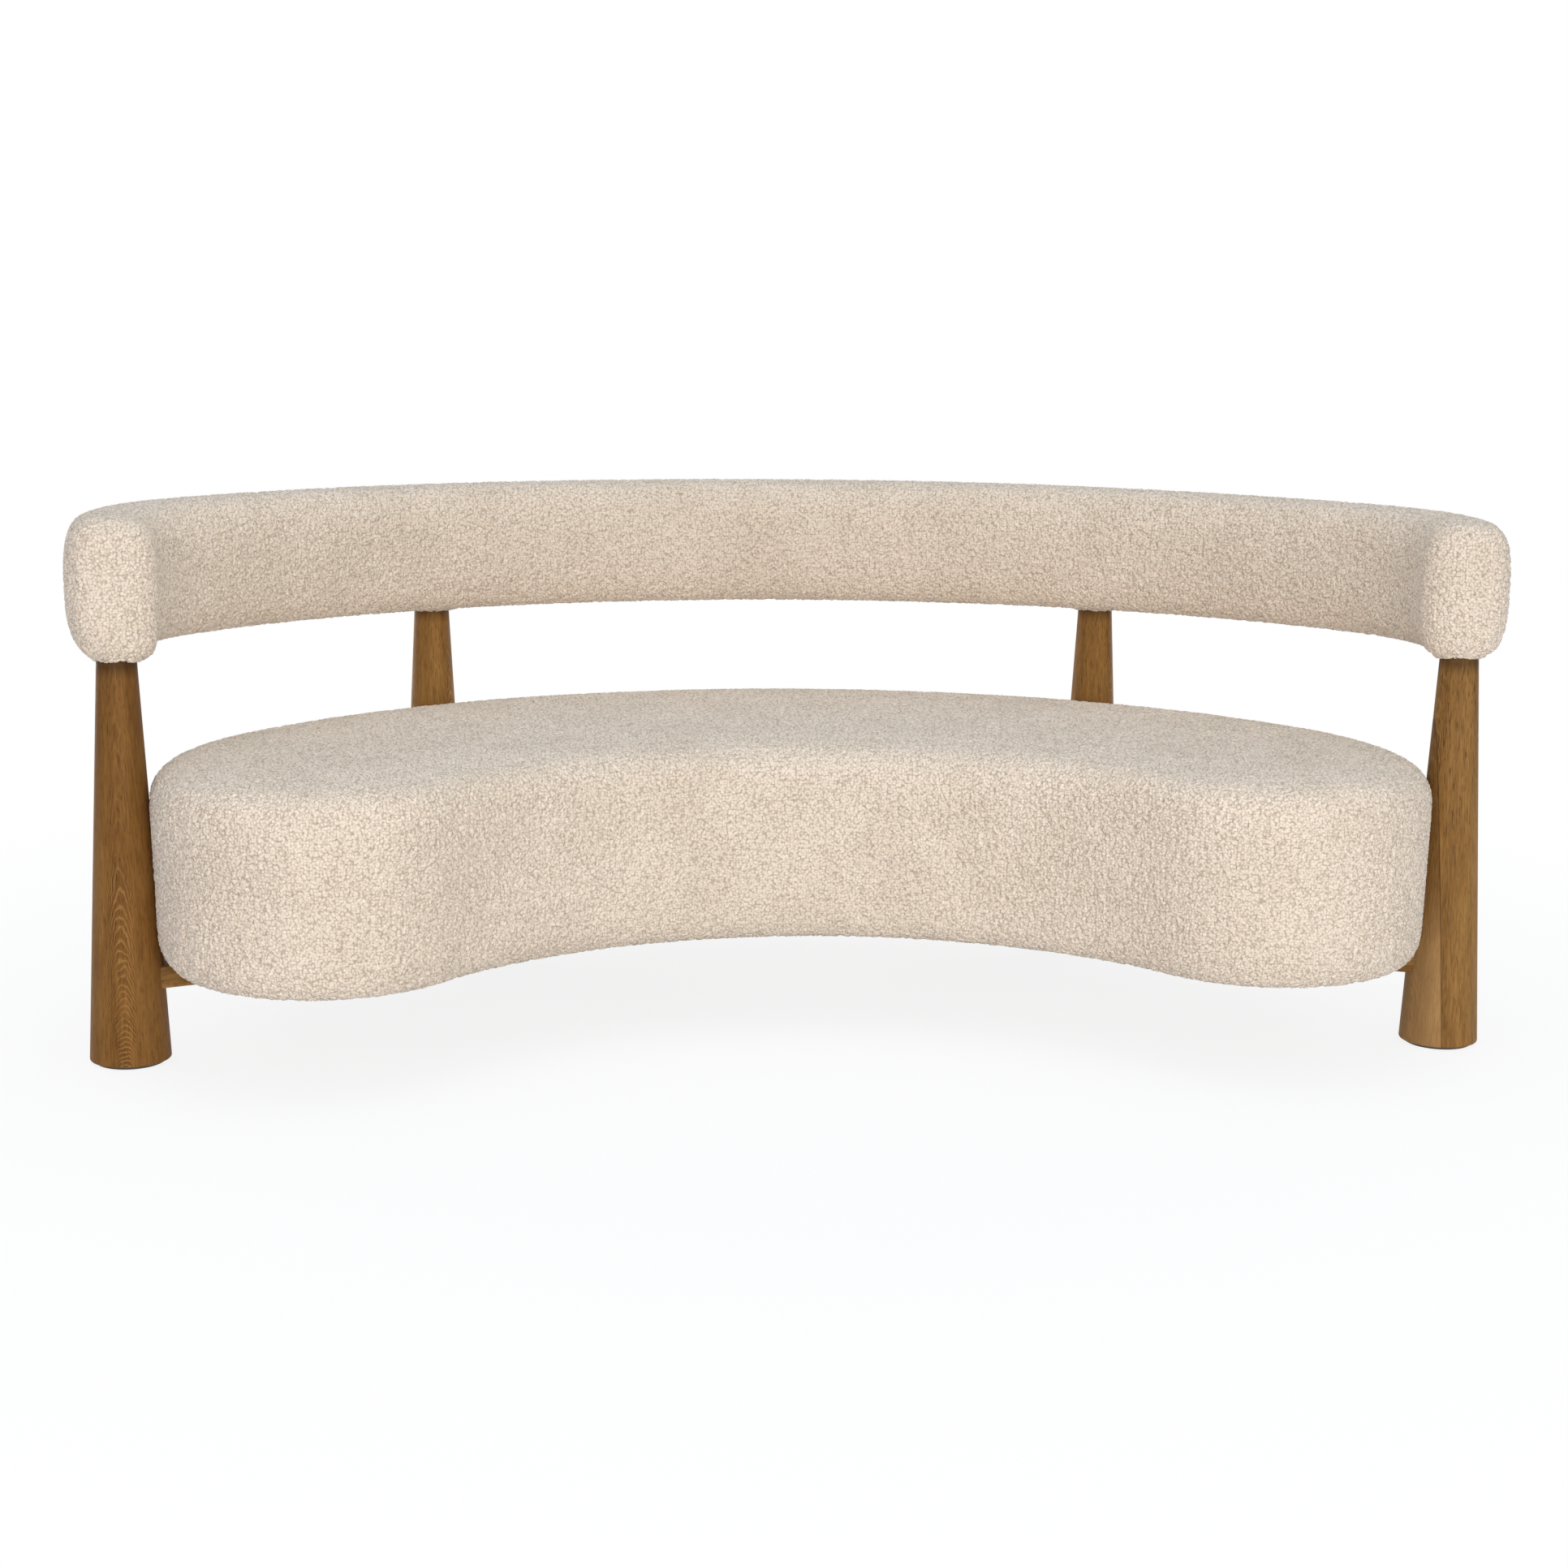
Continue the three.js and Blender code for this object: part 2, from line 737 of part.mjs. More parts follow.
function railBoard(name, low, bores) {
  const section = rectangle(-boardWidth / 2, boardWidth / 2, low, low + boardThickness);
  const body = cut(toSolid(railSweep(section, -beamEnd, beamEnd)), bores);
  return piece(name, toGeometry(body), plywood());
}

function railBlock(name, length, bores) {
  const low = beamBottom + boardThickness + fitGap;
  const high = beamTop - boardThickness - fitGap;
  const section = rectangle(-boardWidth / 2, boardWidth / 2, low, high);
  const from = Math.max(length - blockLength / 2, -beamEnd);
  const to = Math.min(length + blockLength / 2, beamEnd);
  return piece(name, toGeometry(cut(toSolid(railSweep(section, from, to)), bores)), plywood());
}

function railBlocks() {
  const group = new THREE.Group();
  const lengths = {
    front_left: -frontLegLength,
    front_right: frontLegLength,
    rear_left: -rearLegReach,
    rear_right: rearLegReach,
  };
  for (const [name, length] of Object.entries(lengths)) {
    group.add(railBlock(`rail_block_${name}`, length, [studBore(legPlaces[name])]));
  }
  group.add(railBlock('rail_block_middle', 0, []));
  return group;
}

// Thin bent sheets that close the box beam in front and behind.
function railSkin(name, side) {
  const near = boardWidth / 2 + fitGap;
  const far = near + skinThickness;
  const section = side > 0
    ? rectangle(near, far, beamBottom, beamTop)
    : rectangle(-far, -near, beamBottom, beamTop);
  return piece(name, closed(railSweep(section, -beamEnd, beamEnd)), hardboard());
}

function railFoam() {
  const half = boardWidth / 2 + skinThickness + 2 * fitGap;
  const hollow = rectangle(-half, half, beamBottom - fitGap, beamTop + fitGap);
  const beamRoom = toSolid(railSweep(hollow, -beamEnd - fitGap, beamEnd + fitGap));
  const sleeves = Object.values(legPlaces).map((place) => legSleeve(place, fitGap));
  const body = cut(toSolid(railBody(coverThickness + fitGap)), [beamRoom, ...sleeves]);
  return piece('rail_foam', toGeometry(body), foam());
}

function railCover() {
  const sleeves = Object.values(legPlaces).map((place) => legSleeve(place, fitGap));
  const body = cut(toSolid(railBody(0)), [toSolid(railBody(coverThickness)), ...sleeves]);
  return piece('rail_cover', toGeometry(body), boucle());
}

function backRailGroup() {
  const group = new THREE.Group();
  const bores = Object.values(legPlaces).map((place) => studBore(place));
  group.add(railBoard('rail_bottom_board', beamBottom, bores));
  group.add(railBoard('rail_top_board', beamTop - boardThickness, []));
  group.add(railBlocks());
  group.add(railSkin('rail_skin_outer', 1), railSkin('rail_skin_inner', -1));
  group.add(railFoam(), railCover());
  return group;
}

// The whole sofa, with its origin on the floor under the middle of its outline

const sofa = new THREE.Group();
sofa.add(legGroup(), underframe(), seatGroup(), backRailGroup());
sofa.position.y = -(railRear + seatFront) / 2;

export default sofa;
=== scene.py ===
"""Curved sofa: a kidney-shaped boucle seat inside a C-shaped boucle back rail on tapered oak legs.

Metres, +Z up, the sitter faces -Y. Left and right are as seen from the front.
"""

import logging
import math
from dataclasses import dataclass, field
from enum import Enum
from typing import Optional, Sequence

import bmesh
import bpy
import numpy as np
from mathutils import Matrix, Vector


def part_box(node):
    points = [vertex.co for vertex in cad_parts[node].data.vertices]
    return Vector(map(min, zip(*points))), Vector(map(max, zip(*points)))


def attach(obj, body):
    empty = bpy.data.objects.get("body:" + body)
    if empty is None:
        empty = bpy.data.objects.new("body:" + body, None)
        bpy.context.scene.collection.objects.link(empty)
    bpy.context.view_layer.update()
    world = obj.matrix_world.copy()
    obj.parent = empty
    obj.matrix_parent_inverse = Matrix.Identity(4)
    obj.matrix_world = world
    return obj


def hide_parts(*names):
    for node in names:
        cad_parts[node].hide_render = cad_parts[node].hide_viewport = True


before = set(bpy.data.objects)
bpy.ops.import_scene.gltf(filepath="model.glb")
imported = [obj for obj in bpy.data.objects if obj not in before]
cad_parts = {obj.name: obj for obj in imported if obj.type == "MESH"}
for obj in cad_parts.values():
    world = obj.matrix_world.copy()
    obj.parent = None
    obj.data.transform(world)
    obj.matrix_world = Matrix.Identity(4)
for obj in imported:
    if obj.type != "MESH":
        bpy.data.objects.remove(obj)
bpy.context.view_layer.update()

LOG = logging.getLogger("curved_sofa")
MM = 0.001
UP = Vector((0.0, 0.0, 1.0))
# Corners nearer than the first two are one corner, and heights within the third are level.
MERGE = 0.01 * MM
SEAM = 0.05 * MM
LEVEL = 0.1 * MM
LEG_NAMES = ("front_left", "front_right", "rear_left", "rear_right")
BOLT_NAMES = ("centre",) + LEG_NAMES
Triple = tuple[float, float, float]
Colour = Triple
Socket = bpy.types.NodeSocket
Piece = bpy.types.Object
BMesh = bmesh.types.BMesh
Corner = bmesh.types.BMVert
Edge = bmesh.types.BMEdge


def linear(red: int, green: int, blue: int) -> Colour:
    """Turns an sRGB colour of 0 to 255 into the linear values that shaders take."""

    def channel(value: float) -> float:
        """Turns one sRGB channel of 0 to 1 into its linear value."""
        return value / 12.92 if value <= 0.04045 else ((value + 0.055) / 1.055) ** 2.4

    return tuple(channel(value / 255.0) for value in (red, green, blue))


# Node graphs


class Axis(Enum):
    """A coordinate of a vector."""

    X = "X"
    Y = "Y"
    Z = "Z"


class Cell(Enum):
    """What a cell pattern measures: the distance to a cell's middle, or to its edge."""

    MIDDLE = "F1"
    EDGE = "DISTANCE_TO_EDGE"


@dataclass
class Graph:
    """Writes node trees, for materials and geometry alike.

    Attributes:
        tree: The node tree that the nodes are added to.
    """

    tree: bpy.types.NodeTree

    def node(self, kind: str, **settings: object) -> bpy.types.Node:
        """Adds a node and sets its properties.

        Args:
            kind: The node's type name.
            **settings: Properties of the node by name.

        Returns:
            The new node.
        """
        made = self.tree.nodes.new(kind)
        for name, value in settings.items():
            setattr(made, name, value)
        return made

    def feed(self, socket: Socket, value: object) -> None:
        """Links a socket to an input, or sets the input's own value.

        Args:
            socket: The input socket.
            value: A socket to link, a number, or a tuple of numbers.
        """
        if isinstance(value, bpy.types.NodeSocket):
            self.tree.links.new(value, socket)
        else:
            socket.default_value = value

    def fill(self, node: bpy.types.Node, values: dict[object, object]) -> bpy.types.Node:
        """Feeds several inputs of a node.

        Args:
            node: The node.
            values: What each input takes, by the input's name or number.

        Returns:
            The same node.
        """
        for key, value in values.items():
            self.feed(node.inputs[key], value)
        return node

    def math(self, operation: str, *values: object, clamp: bool = False) -> Socket:
        """Adds a Math node.

        Args:
            operation: The node's operation.
            *values: Its inputs, sockets or numbers.
            clamp: Whether the result is kept between 0 and 1.

        Returns:
            The result's socket.
        """
        made = self.node("ShaderNodeMath", operation=operation, use_clamp=clamp)
        return self.fill(made, dict(enumerate(values))).outputs[0]

    def times(self, first: object, *others: object) -> Socket:
        """Multiplies numbers or sockets.

        Args:
            first: The first factor.
            *others: The other factors.

        Returns:
            The product's socket.
        """
        for other in others:
            first = self.math("MULTIPLY", first, other)
        return first

    def vector(self, operation: str, *values: object) -> Socket:
        """Adds a Vector Math node and returns its vector socket.

        Args:
            operation: The node's operation.
            *values: Its vector inputs, sockets or tuples.

        Returns:
            The result's socket.
        """
        made = self.node("ShaderNodeVectorMath", operation=operation)
        return self.fill(made, dict(enumerate(values))).outputs[0]

    def scaled(self, vector: object, factor: object) -> Socket:
        """Scales a vector by a number or a socket."""
        made = self.node("ShaderNodeVectorMath", operation="SCALE")
        return self.fill(made, {0: vector, "Scale": factor}).outputs[0]

    def length(self, vector: Socket) -> Socket:
        """Measures a vector's length."""
        made = self.node("ShaderNodeVectorMath", operation="LENGTH")
        return self.fill(made, {0: vector}).outputs["Value"]

    def part(self, vector: Socket, axis: Axis) -> Socket:
        """Takes one coordinate of a vector."""
        return self.fill(self.node("ShaderNodeSeparateXYZ"), {0: vector}).outputs[axis.value]

    def joined(self, x: object, y: object, z: object) -> Socket:
        """Joins three numbers into a vector."""
        return self.fill(self.node("ShaderNodeCombineXYZ"), {0: x, 1: y, 2: z}).outputs[0]

    def own_place(self) -> Socket:
        """Reads the object's own coordinates."""
        return self.node("ShaderNodeTexCoord").outputs["Object"]

    def noise(self, place: Socket, scale: float | Triple, detail: float = 0.0, output: str = "Fac") -> Socket:
        """Adds a Noise Texture.

        Args:
            place: The point that the pattern is read at.
            scale: Features per metre, the same all ways or one number for each.
            detail: Finer layers on top of the first.
            output: Fac for one number at each point, or Color for three.

        Returns:
            The pattern's socket, around 0.5.
        """
        if isinstance(scale, tuple):
            place = self.vector("MULTIPLY", place, scale)
            scale = 1.0
        made = self.node("ShaderNodeTexNoise", noise_dimensions="3D")
        self.fill(made, {"Vector": place, "Scale": scale, "Detail": detail})
        return made.outputs[output]

    def cells(self, place: Socket, scale: float, measure: Cell, scatter: float = 1.0) -> Socket:
        """Adds a Voronoi Texture.

        Args:
            place: The point that the pattern is read at.
            scale: Cells per metre.
            measure: What the pattern measures.
            scatter: How irregular the cells are, from 0 to 1.

        Returns:
            The distance's socket.
        """
        made = self.node("ShaderNodeTexVoronoi", voronoi_dimensions="3D", feature=measure.value)
        self.fill(made, {"Vector": place, "Scale": scale, "Randomness": scatter})
        return made.outputs["Distance"]

    def ranged(self, value: Socket, low: float, high: float, start: float = 0.0, end: float = 1.0) -> Socket:
        """Maps a value smoothly from one range to another, and holds it at the ends.

        Args:
            value: The value to map.
            low: Where the range starts.
            high: Where the range ends.
            start: The result at low.
            end: The result at high.

        Returns:
            The result's socket.
        """
        made = self.node("ShaderNodeMapRange", interpolation_type="SMOOTHSTEP")
        self.fill(made, {"Value": value, "From Min": low, "From Max": high, "To Min": start, "To Max": end})
        return made.outputs[0]

    def shades(self, value: Socket, *stops: tuple[float, Colour]) -> Socket:
        """Colours a value between stops.

        Args:
            value: The value, from 0 to 1.
            *stops: Pairs of a place and a linear colour, in rising order.

        Returns:
            The colour's socket.
        """
        made = self.node("ShaderNodeValToRGB")
        elements = made.color_ramp.elements
        elements[0].position, elements[-1].position = stops[0][0], stops[-1][0]
        elements[0].color, elements[-1].color = (*stops[0][1], 1.0), (*stops[-1][1], 1.0)
        for place, colour in stops[1:-1]:
            elements.new(place).color = (*colour, 1.0)
        return self.fill(made, {0: value}).outputs[0]

    def blended(self, share: object, first: object, second: object, mode: str = "MIX") -> Socket:
        """Mixes two colours.

        Args:
            share: How much of the second colour is used, from 0 to 1.
            first: The colour at 0.
            second: The colour at 1.
            mode: The blend type.

        Returns:
            The colour's socket.
        """
        made = self.node("ShaderNodeMix", data_type="RGBA", blend_type=mode)
        pair = [(*colour, 1.0) if isinstance(colour, tuple) else colour for colour in (first, second)]
        return self.fill(made, {0: share, 6: pair[0], 7: pair[1]}).outputs[2]

    def bump(self, height: Socket, distance: float, strength: float) -> Socket:
        """Adds a Bump node.

        Args:
            height: The height pattern, from 0 to 1.
            distance: The height that 1 stands for, in metres.
            strength: How strongly it shows.

        Returns:
            The normal's socket.
        """
        made = self.node("ShaderNodeBump")
        return self.fill(made, {"Height": height, "Distance": distance, "Strength": strength}).outputs[0]

    def in_sight(self) -> Socket:
        """Tells the rays that show a thing from those that light others.

        Returns:
            1 for rays from the camera, mirrored or let through, and 0 for the rest.
        """
        path = self.node("ShaderNodeLightPath").outputs
        return self.math("MAXIMUM", path["Is Camera Ray"],
                         self.math("MAXIMUM", path["Is Glossy Ray"], path["Is Transmission Ray"]))

    def surface(self, output: str, share: object, first: Socket, second: Socket) -> None:
        """Mixes two shaders and links them to the tree's output.

        Args:
            output: The output node's type name.
            share: How much of the second shader is used.
            first: The shader at 0.
            second: The shader at 1.
        """
        mixed = self.fill(self.node("ShaderNodeMixShader"), {0: share, 1: first, 2: second})
        self.fill(self.node(output), {"Surface": mixed.outputs[0]})


def fresh_graph(owner: bpy.types.Material | bpy.types.World) -> Graph:
    """Empties a new material's or world's node tree.

    Args:
        owner: What the tree belongs to.

    Returns:
        A graph that writes in it.
    """
    owner.use_nodes = True
    owner.node_tree.nodes.clear()
    return Graph(owner.node_tree)


@dataclass(frozen=True)
class Finish:
    """A surface finish with its own procedural material.

    Attributes:
        name: The material's name.
        slot: The record's material slot that it belongs to.
    """

    name: str
    slot: str

    def paint(self, graph: Graph) -> dict[str, object]:
        """Draws the pattern and returns what the shader's inputs take; each finish has its own."""
        raise NotImplementedError

    def material(self) -> bpy.types.Material:
        """Builds the material, or returns it where it was built before.

        Returns:
            The finish's material.
        """
        found = bpy.data.materials.get(self.name)
        if found is not None:
            return found
        made = bpy.data.materials.new(self.name)
        graph = fresh_graph(made)
        shader = graph.node("ShaderNodeBsdfPrincipled")
        graph.fill(graph.node("ShaderNodeOutputMaterial"), {"Surface": shader.outputs[0]})
        graph.fill(shader, self.paint(graph))
        return made


# Fabric


@dataclass(frozen=True)
class CurlPattern:
    """The looped pile of boucle: small round curls, packed fairly evenly, with thin creases between them.

    Attributes:
        nubs: Raised clusters of curls per metre, which the mesh shows.
        curls: Curls per metre, which the material shows.
        scatter: How irregularly the curls lie, from 0 to 1.
        wander: Bends per metre in the creases.
        wander_reach: How far a bend moves a crease, in metres.
        reach: How far a curl's dome reaches, in its own spacing.
        loops: Loops in each curl, across.
        loop_share: The share of the height that the loops give.
        crease_share: The share of a curl that its crease, painted dark as shade, takes.
    """

    nubs: float = 135.0
    curls: float = 245.0
    scatter: float = 0.80
    wander: float = 300.0
    wander_reach: float = 2.5 * MM
    reach: float = 0.85
    loops: float = 2.1
    loop_share: float = 0.20
    crease_share: float = 0.11

    def bent(self, graph: Graph, place: Socket) -> Socket:
        """Moves a point a little, so that the curls aren't quite round.

        Args:
            graph: The graph to write in.
            place: The point on the cloth before its pile is raised.

        Returns:
            The moved point.
        """
        bend = graph.vector("SUBTRACT", graph.noise(place, self.wander, 0.0, "Color"), (0.5, 0.5, 0.5))
        return graph.vector("ADD", place, graph.scaled(bend, self.wander_reach))

    def dome(self, graph: Graph, place: Socket, scale: float) -> tuple[Socket, Socket]:
        """Raises a dome round each point of a scatter.

        Args:
            graph: The graph to write in.
            place: The point that the pattern is read at.
            scale: Domes per metre.

        Returns:
            The height from 0 to 1, and the distance from the dome's middle in its own spacing.
        """
        apart = graph.math("DIVIDE", graph.cells(place, scale, Cell.MIDDLE, self.scatter), self.reach)
        return graph.math("SUBTRACT", 1.0, graph.times(apart, apart), clamp=True), apart

    def height(self, graph: Graph, place: Socket) -> tuple[Socket, Socket]:
        """Works out the pile's height and its creases.

        Args:
            graph: The graph to write in.
            place: The point on the cloth before its pile is raised.

        Returns:
            The height from 0 to 1, and how far a point lies in a crease, from 0 to 1.
        """
        bent = self.bent(graph, place)
        curl, apart = self.dome(graph, bent, self.curls)
        loop, _ = self.dome(graph, bent, self.curls * self.loops)
        height = graph.math("ADD", graph.times(curl, 1.0 - self.loop_share),
                            graph.times(loop, self.loop_share))
        from_edge = graph.cells(bent, self.curls, Cell.EDGE, self.scatter)
        edge = graph.ranged(from_edge, 0.0, self.crease_share, 1.0, 0.0)
        return height, graph.times(edge, graph.ranged(apart, 0.40, 0.80))


@dataclass(frozen=True)
class BoucleFinish(Finish):
    """Cream boucle with small curls.

    Attributes:
        pattern: The pattern of the curls.
        deep: The colour deep between the curls, painted shade.
        side: The colour of the curls' sides: the yarn's colour with some painted shade.
        top: The colour of the curls' tops: the yarn's colour with a painted highlight.
        crease: The colour of the thin creases, painted shade.
        crease_shade_strength: How strongly the painted shade in the creases shows.
        patch: The tint of wide, slightly darker patches.
        patches: Those patches per metre.
        relief: The height of the curls' shading.
    """

    pattern: CurlPattern = CurlPattern()
    deep: Colour = (0.54, 0.437, 0.333)
    side: Colour = (0.755, 0.634, 0.513)
    top: Colour = (0.90, 0.775, 0.645)
    crease: Colour = (0.36, 0.275, 0.19)
    crease_shade_strength: float = 0.42
    patch: Colour = (0.955, 0.95, 0.94)
    patches: float = 9.0
    relief: float = 2.4 * MM

    def paint(self, graph: Graph) -> dict[str, object]:
        """Paints shade low between the curls and in the creases and a highlight on the curls' tops, and
        raises them a little.

        Args:
            graph: The material's graph.

        Returns:
            The shader's inputs.
        """
        place = graph.node("ShaderNodeAttribute", attribute_name="rest").outputs["Vector"]
        height, crease = self.pattern.height(graph, place)
        # Painted shade low between the curls, and a painted highlight on their tops.
        cream_with_painted_light = graph.shades(height, (0.0, self.deep), (0.45, self.side), (1.0, self.top))
        # Painted shade in the thin creases.
        cream_with_painted_light = graph.blended(graph.times(crease, self.crease_shade_strength), cream_with_painted_light, self.crease)
        wide = graph.ranged(graph.noise(place, self.patches, 2.0), 0.40, 0.62)
        worn = graph.blended(1.0, cream_with_painted_light, self.patch, "MULTIPLY")
        return {"Base Color": graph.blended(wide, cream_with_painted_light, worn), "Roughness": 0.82, "Specular IOR Level": 0.28,
                "Sheen Weight": 0.15, "Sheen Roughness": 0.4, "Normal": graph.bump(height, self.relief, 1.0)}


@dataclass(frozen=True)
class DustClothFinish(Finish):
    """Thin black non-woven cloth.

    Attributes:
        dots: Pressed dots per metre.
        fibres: Stray fibres per metre.
    """

    dots: float = 420.0
    fibres: float = 700.0

    def paint(self, graph: Graph) -> dict[str, object]:
        """Adds the pressed dots and stray fibres of the cloth.

        Args:
            graph: The material's graph.

        Returns:
            The shader's inputs.
        """
        place = graph.own_place()
        dots = graph.ranged(graph.cells(place, self.dots, Cell.MIDDLE), 0.15, 0.45)
        tone = graph.times(dots, graph.noise(place, self.fibres, 3.0))
        black = graph.shades(tone, (0.0, (0.012, 0.012, 0.014)), (0.7, (0.045, 0.045, 0.05)))
        return {"Base Color": black, "Roughness": 0.92, "Normal": graph.bump(dots, 0.2 * MM, 0.6)}


# Wood


class OakShade(Enum):
    """The sRGB colours in oiled brown oak, and one painted shade for a stave that lies in shade."""

    DARK_FIBRE = (106, 73, 35)
    FIBRE = (131, 94, 48)
    PALE_FIBRE = (151, 113, 64)
    LATE_GROWTH = (184, 145, 92)
    PORE = (72, 46, 20)
    FLECK = (62, 38, 15)
    PALE_STAVE = (184, 150, 108)
    # Painted shade, not the wood's colour: the shade on the upper part of a leg's shaded stave.
    PAINTED_STAVE_SHADE = (84, 59, 30)
    GLUE_LINE = (70, 44, 18)


class OakGrain(Enum):
    """The features of oak per metre, twice across the grain and once along it."""

    FIBRE = (520.0, 520.0, 14.0)
    CLOUD = (42.0, 42.0, 2.5)
    CLEAR_PATCH = (30.0, 30.0, 8.0)
    PORE = (560.0, 560.0, 62.0)
    FLECK = (420.0, 420.0, 36.0)
    WIDE_BEND = (14.0, 14.0, 5.0)
    FINE_BEND = (95.0, 95.0, 40.0)


@dataclass(frozen=True)
class OakFinish(Finish):
    """Oiled brown oak, cut from a log whose heart lies beside the piece.

    Attributes:
        origin: A point on the piece's own axis.
        along: The way that the grain runs.
        heart: Where the log's heart lies, across the grain, from the piece's axis.
        bow: How far the heart leans away towards the foot.
        bow_length: The height over which that lean fades.
        tilt: How steeply the heart leans all the way up.
        rings: Growth rings per metre.
        ring_strength: How strongly the pale late growth shows.
        fade_height: The height above which the rings fade.
        flecks: How strongly dark pore flecks show in the upper part.
        tone: How bright this piece of wood is, by colour.
        foot_tone: How much of that brightness is left at the floor.
        top_tone: The same at the top.
        under_rail_painted_shade: The share of the top's tone that is left just under the rail, a painted
            shade where the rail shades the leg's top.
        tone_height: The height over which the tone changes.
        joint: Where the glue joint lies, as its distance from the axis at the floor and its slope.
        stave_shift: Where in the log the second stave was cut, from the first.
        sway: How many rings a wide bend moves them.
        tremor: How many rings a fine bend moves them.
    """

    origin: Triple = (0.0, 0.0, 0.0)
    along: Triple = (0.0, 0.0, 1.0)
    heart: tuple[float, float] = (0.09, 0.05)
    bow: float = 0.0
    bow_length: float = 0.22
    tilt: float = 0.0
    rings: float = 1100.0
    ring_strength: float = 0.35
    fade_height: float = 2.0
    flecks: float = 0.25
    tone: Colour = (1.0, 1.0, 1.0)
    foot_tone: Colour = (1.0, 1.0, 1.0)
    top_tone: Colour = (0.83, 0.82, 0.80)
    under_rail_painted_shade: float = 0.45
    tone_height: float = 0.6
    joint: Optional[tuple[float, float]] = None
    stave_shift: Triple = (0.031, 0.017, 0.4)
    sway: float = 3.2
    tremor: float = 1.9

    def stained(self, shade: OakShade) -> Colour:
        """Takes a shade to linear values, as bright as this piece of wood."""
        return tuple(channel * share for channel, share in zip(linear(*shade.value), self.tone))

    def local(self, graph: Graph) -> Socket:
        """Turns the object's coordinates so that the grain runs along Z.

        Args:
            graph: The material's graph.

        Returns:
            The turned place's socket.
        """
        turn = Vector(self.along).rotation_difference(UP).to_matrix()
        mapping = graph.node("ShaderNodeMapping", vector_type="POINT")
        graph.fill(mapping, {"Vector": graph.own_place(), "Rotation": turn.to_euler(),
                             "Location": -(turn @ Vector(self.origin))})
        return mapping.outputs[0]

    def year(self, graph: Graph, place: Socket) -> Socket:
        """Counts the growth rings out from the log's heart.

        Args:
            graph: The material's graph.
            place: The place, with the grain along Z.

        Returns:
            The share of the year's ring that has grown, from 0 to 1.
        """
        height = graph.part(place, Axis.Z)
        fade = graph.math("EXPONENT", graph.times(height, -1.0 / self.bow_length))
        lean = graph.math("ADD", graph.times(fade, self.bow), graph.times(height, self.tilt))
        length = math.hypot(*self.heart)
        shift = graph.joined(*(graph.times(lean, way / length) for way in self.heart), 0.0)
        from_heart = graph.vector("SUBTRACT", graph.vector("SUBTRACT", place, shift), (*self.heart, 0.0))
        radius = graph.length(graph.vector("MULTIPLY", from_heart, (1.0, 1.0, 0.0)))
        wide = graph.times(graph.noise(place, OakGrain.WIDE_BEND.value, 1.0), self.sway)
        fine = graph.times(graph.noise(place, OakGrain.FINE_BEND.value, 3.0), self.tremor)
        wave = graph.math("ADD", wide, fine)
        return graph.math("FRACT", graph.math("MULTIPLY_ADD", radius, self.rings, wave))

    def ringed(self, graph: Graph, place: Socket, height: Socket, year: Socket, streak: Socket) -> Socket:
        """Draws the fibres and the pale late growth of each year.

        Args:
            graph: The material's graph.
            place: The place, with the grain along Z.
            height: Its height along the grain.
            year: The share of the year's ring that has grown.
            streak: The pattern of the fibres.

        Returns:
            The colour's socket.
        """
        cloud = graph.noise(place, OakGrain.CLOUD.value, 2.0)
        tone = graph.math("ADD", graph.times(streak, 0.5), graph.times(cloud, 0.5))
        wood = graph.shades(tone, (0.34, self.stained(OakShade.DARK_FIBRE)),
                            (0.50, self.stained(OakShade.FIBRE)), (0.66, self.stained(OakShade.PALE_FIBRE)))
        late = graph.times(graph.ranged(year, 0.55, 0.80), graph.ranged(year, 0.84, 0.98, 1.0, 0.0))
        uneven = graph.ranged(graph.noise(place, OakGrain.CLEAR_PATCH.value, 1.0), 0.35, 0.6)
        strength = graph.ranged(height, self.fade_height, self.fade_height + 0.2,
                                self.ring_strength, 0.3 * self.ring_strength)
        clear = graph.times(strength, graph.math("ADD", graph.times(uneven, 0.7), 0.3))
        return graph.blended(graph.times(late, clear), wood, self.stained(OakShade.LATE_GROWTH))

    def glued(self, graph: Graph, wood: Socket, height: Socket, side: Socket, second: Socket) -> Socket:
        """Tints the second stave paler at the foot, paints shade on its upper part, where the seat shades
        that side of the leg, and draws the glue line.

        Args:
            graph: The material's graph.
            wood: The colour so far.
            height: The height above the floor.
            side: The distance from the glue joint.
            second: 1 on the second stave and 0 on the first.

        Returns:
            The colour's socket.
        """
        paler = graph.times(second, graph.ranged(height, 0.12, 0.30, 0.28, 0.0))
        wood = graph.blended(paler, wood, self.stained(OakShade.PALE_STAVE))
        # Painted shade on the second stave's upper part, where the seat shades that side of the leg.
        darker = graph.times(second, graph.ranged(height, 0.14, 0.30, 0.0, 0.35))
        wood = graph.blended(darker, wood, self.stained(OakShade.PAINTED_STAVE_SHADE))
        gap = graph.ranged(graph.math("ABSOLUTE", side), 0.2 * MM, 0.9 * MM, 0.7, 0.0)
        return graph.blended(gap, wood, self.stained(OakShade.GLUE_LINE))

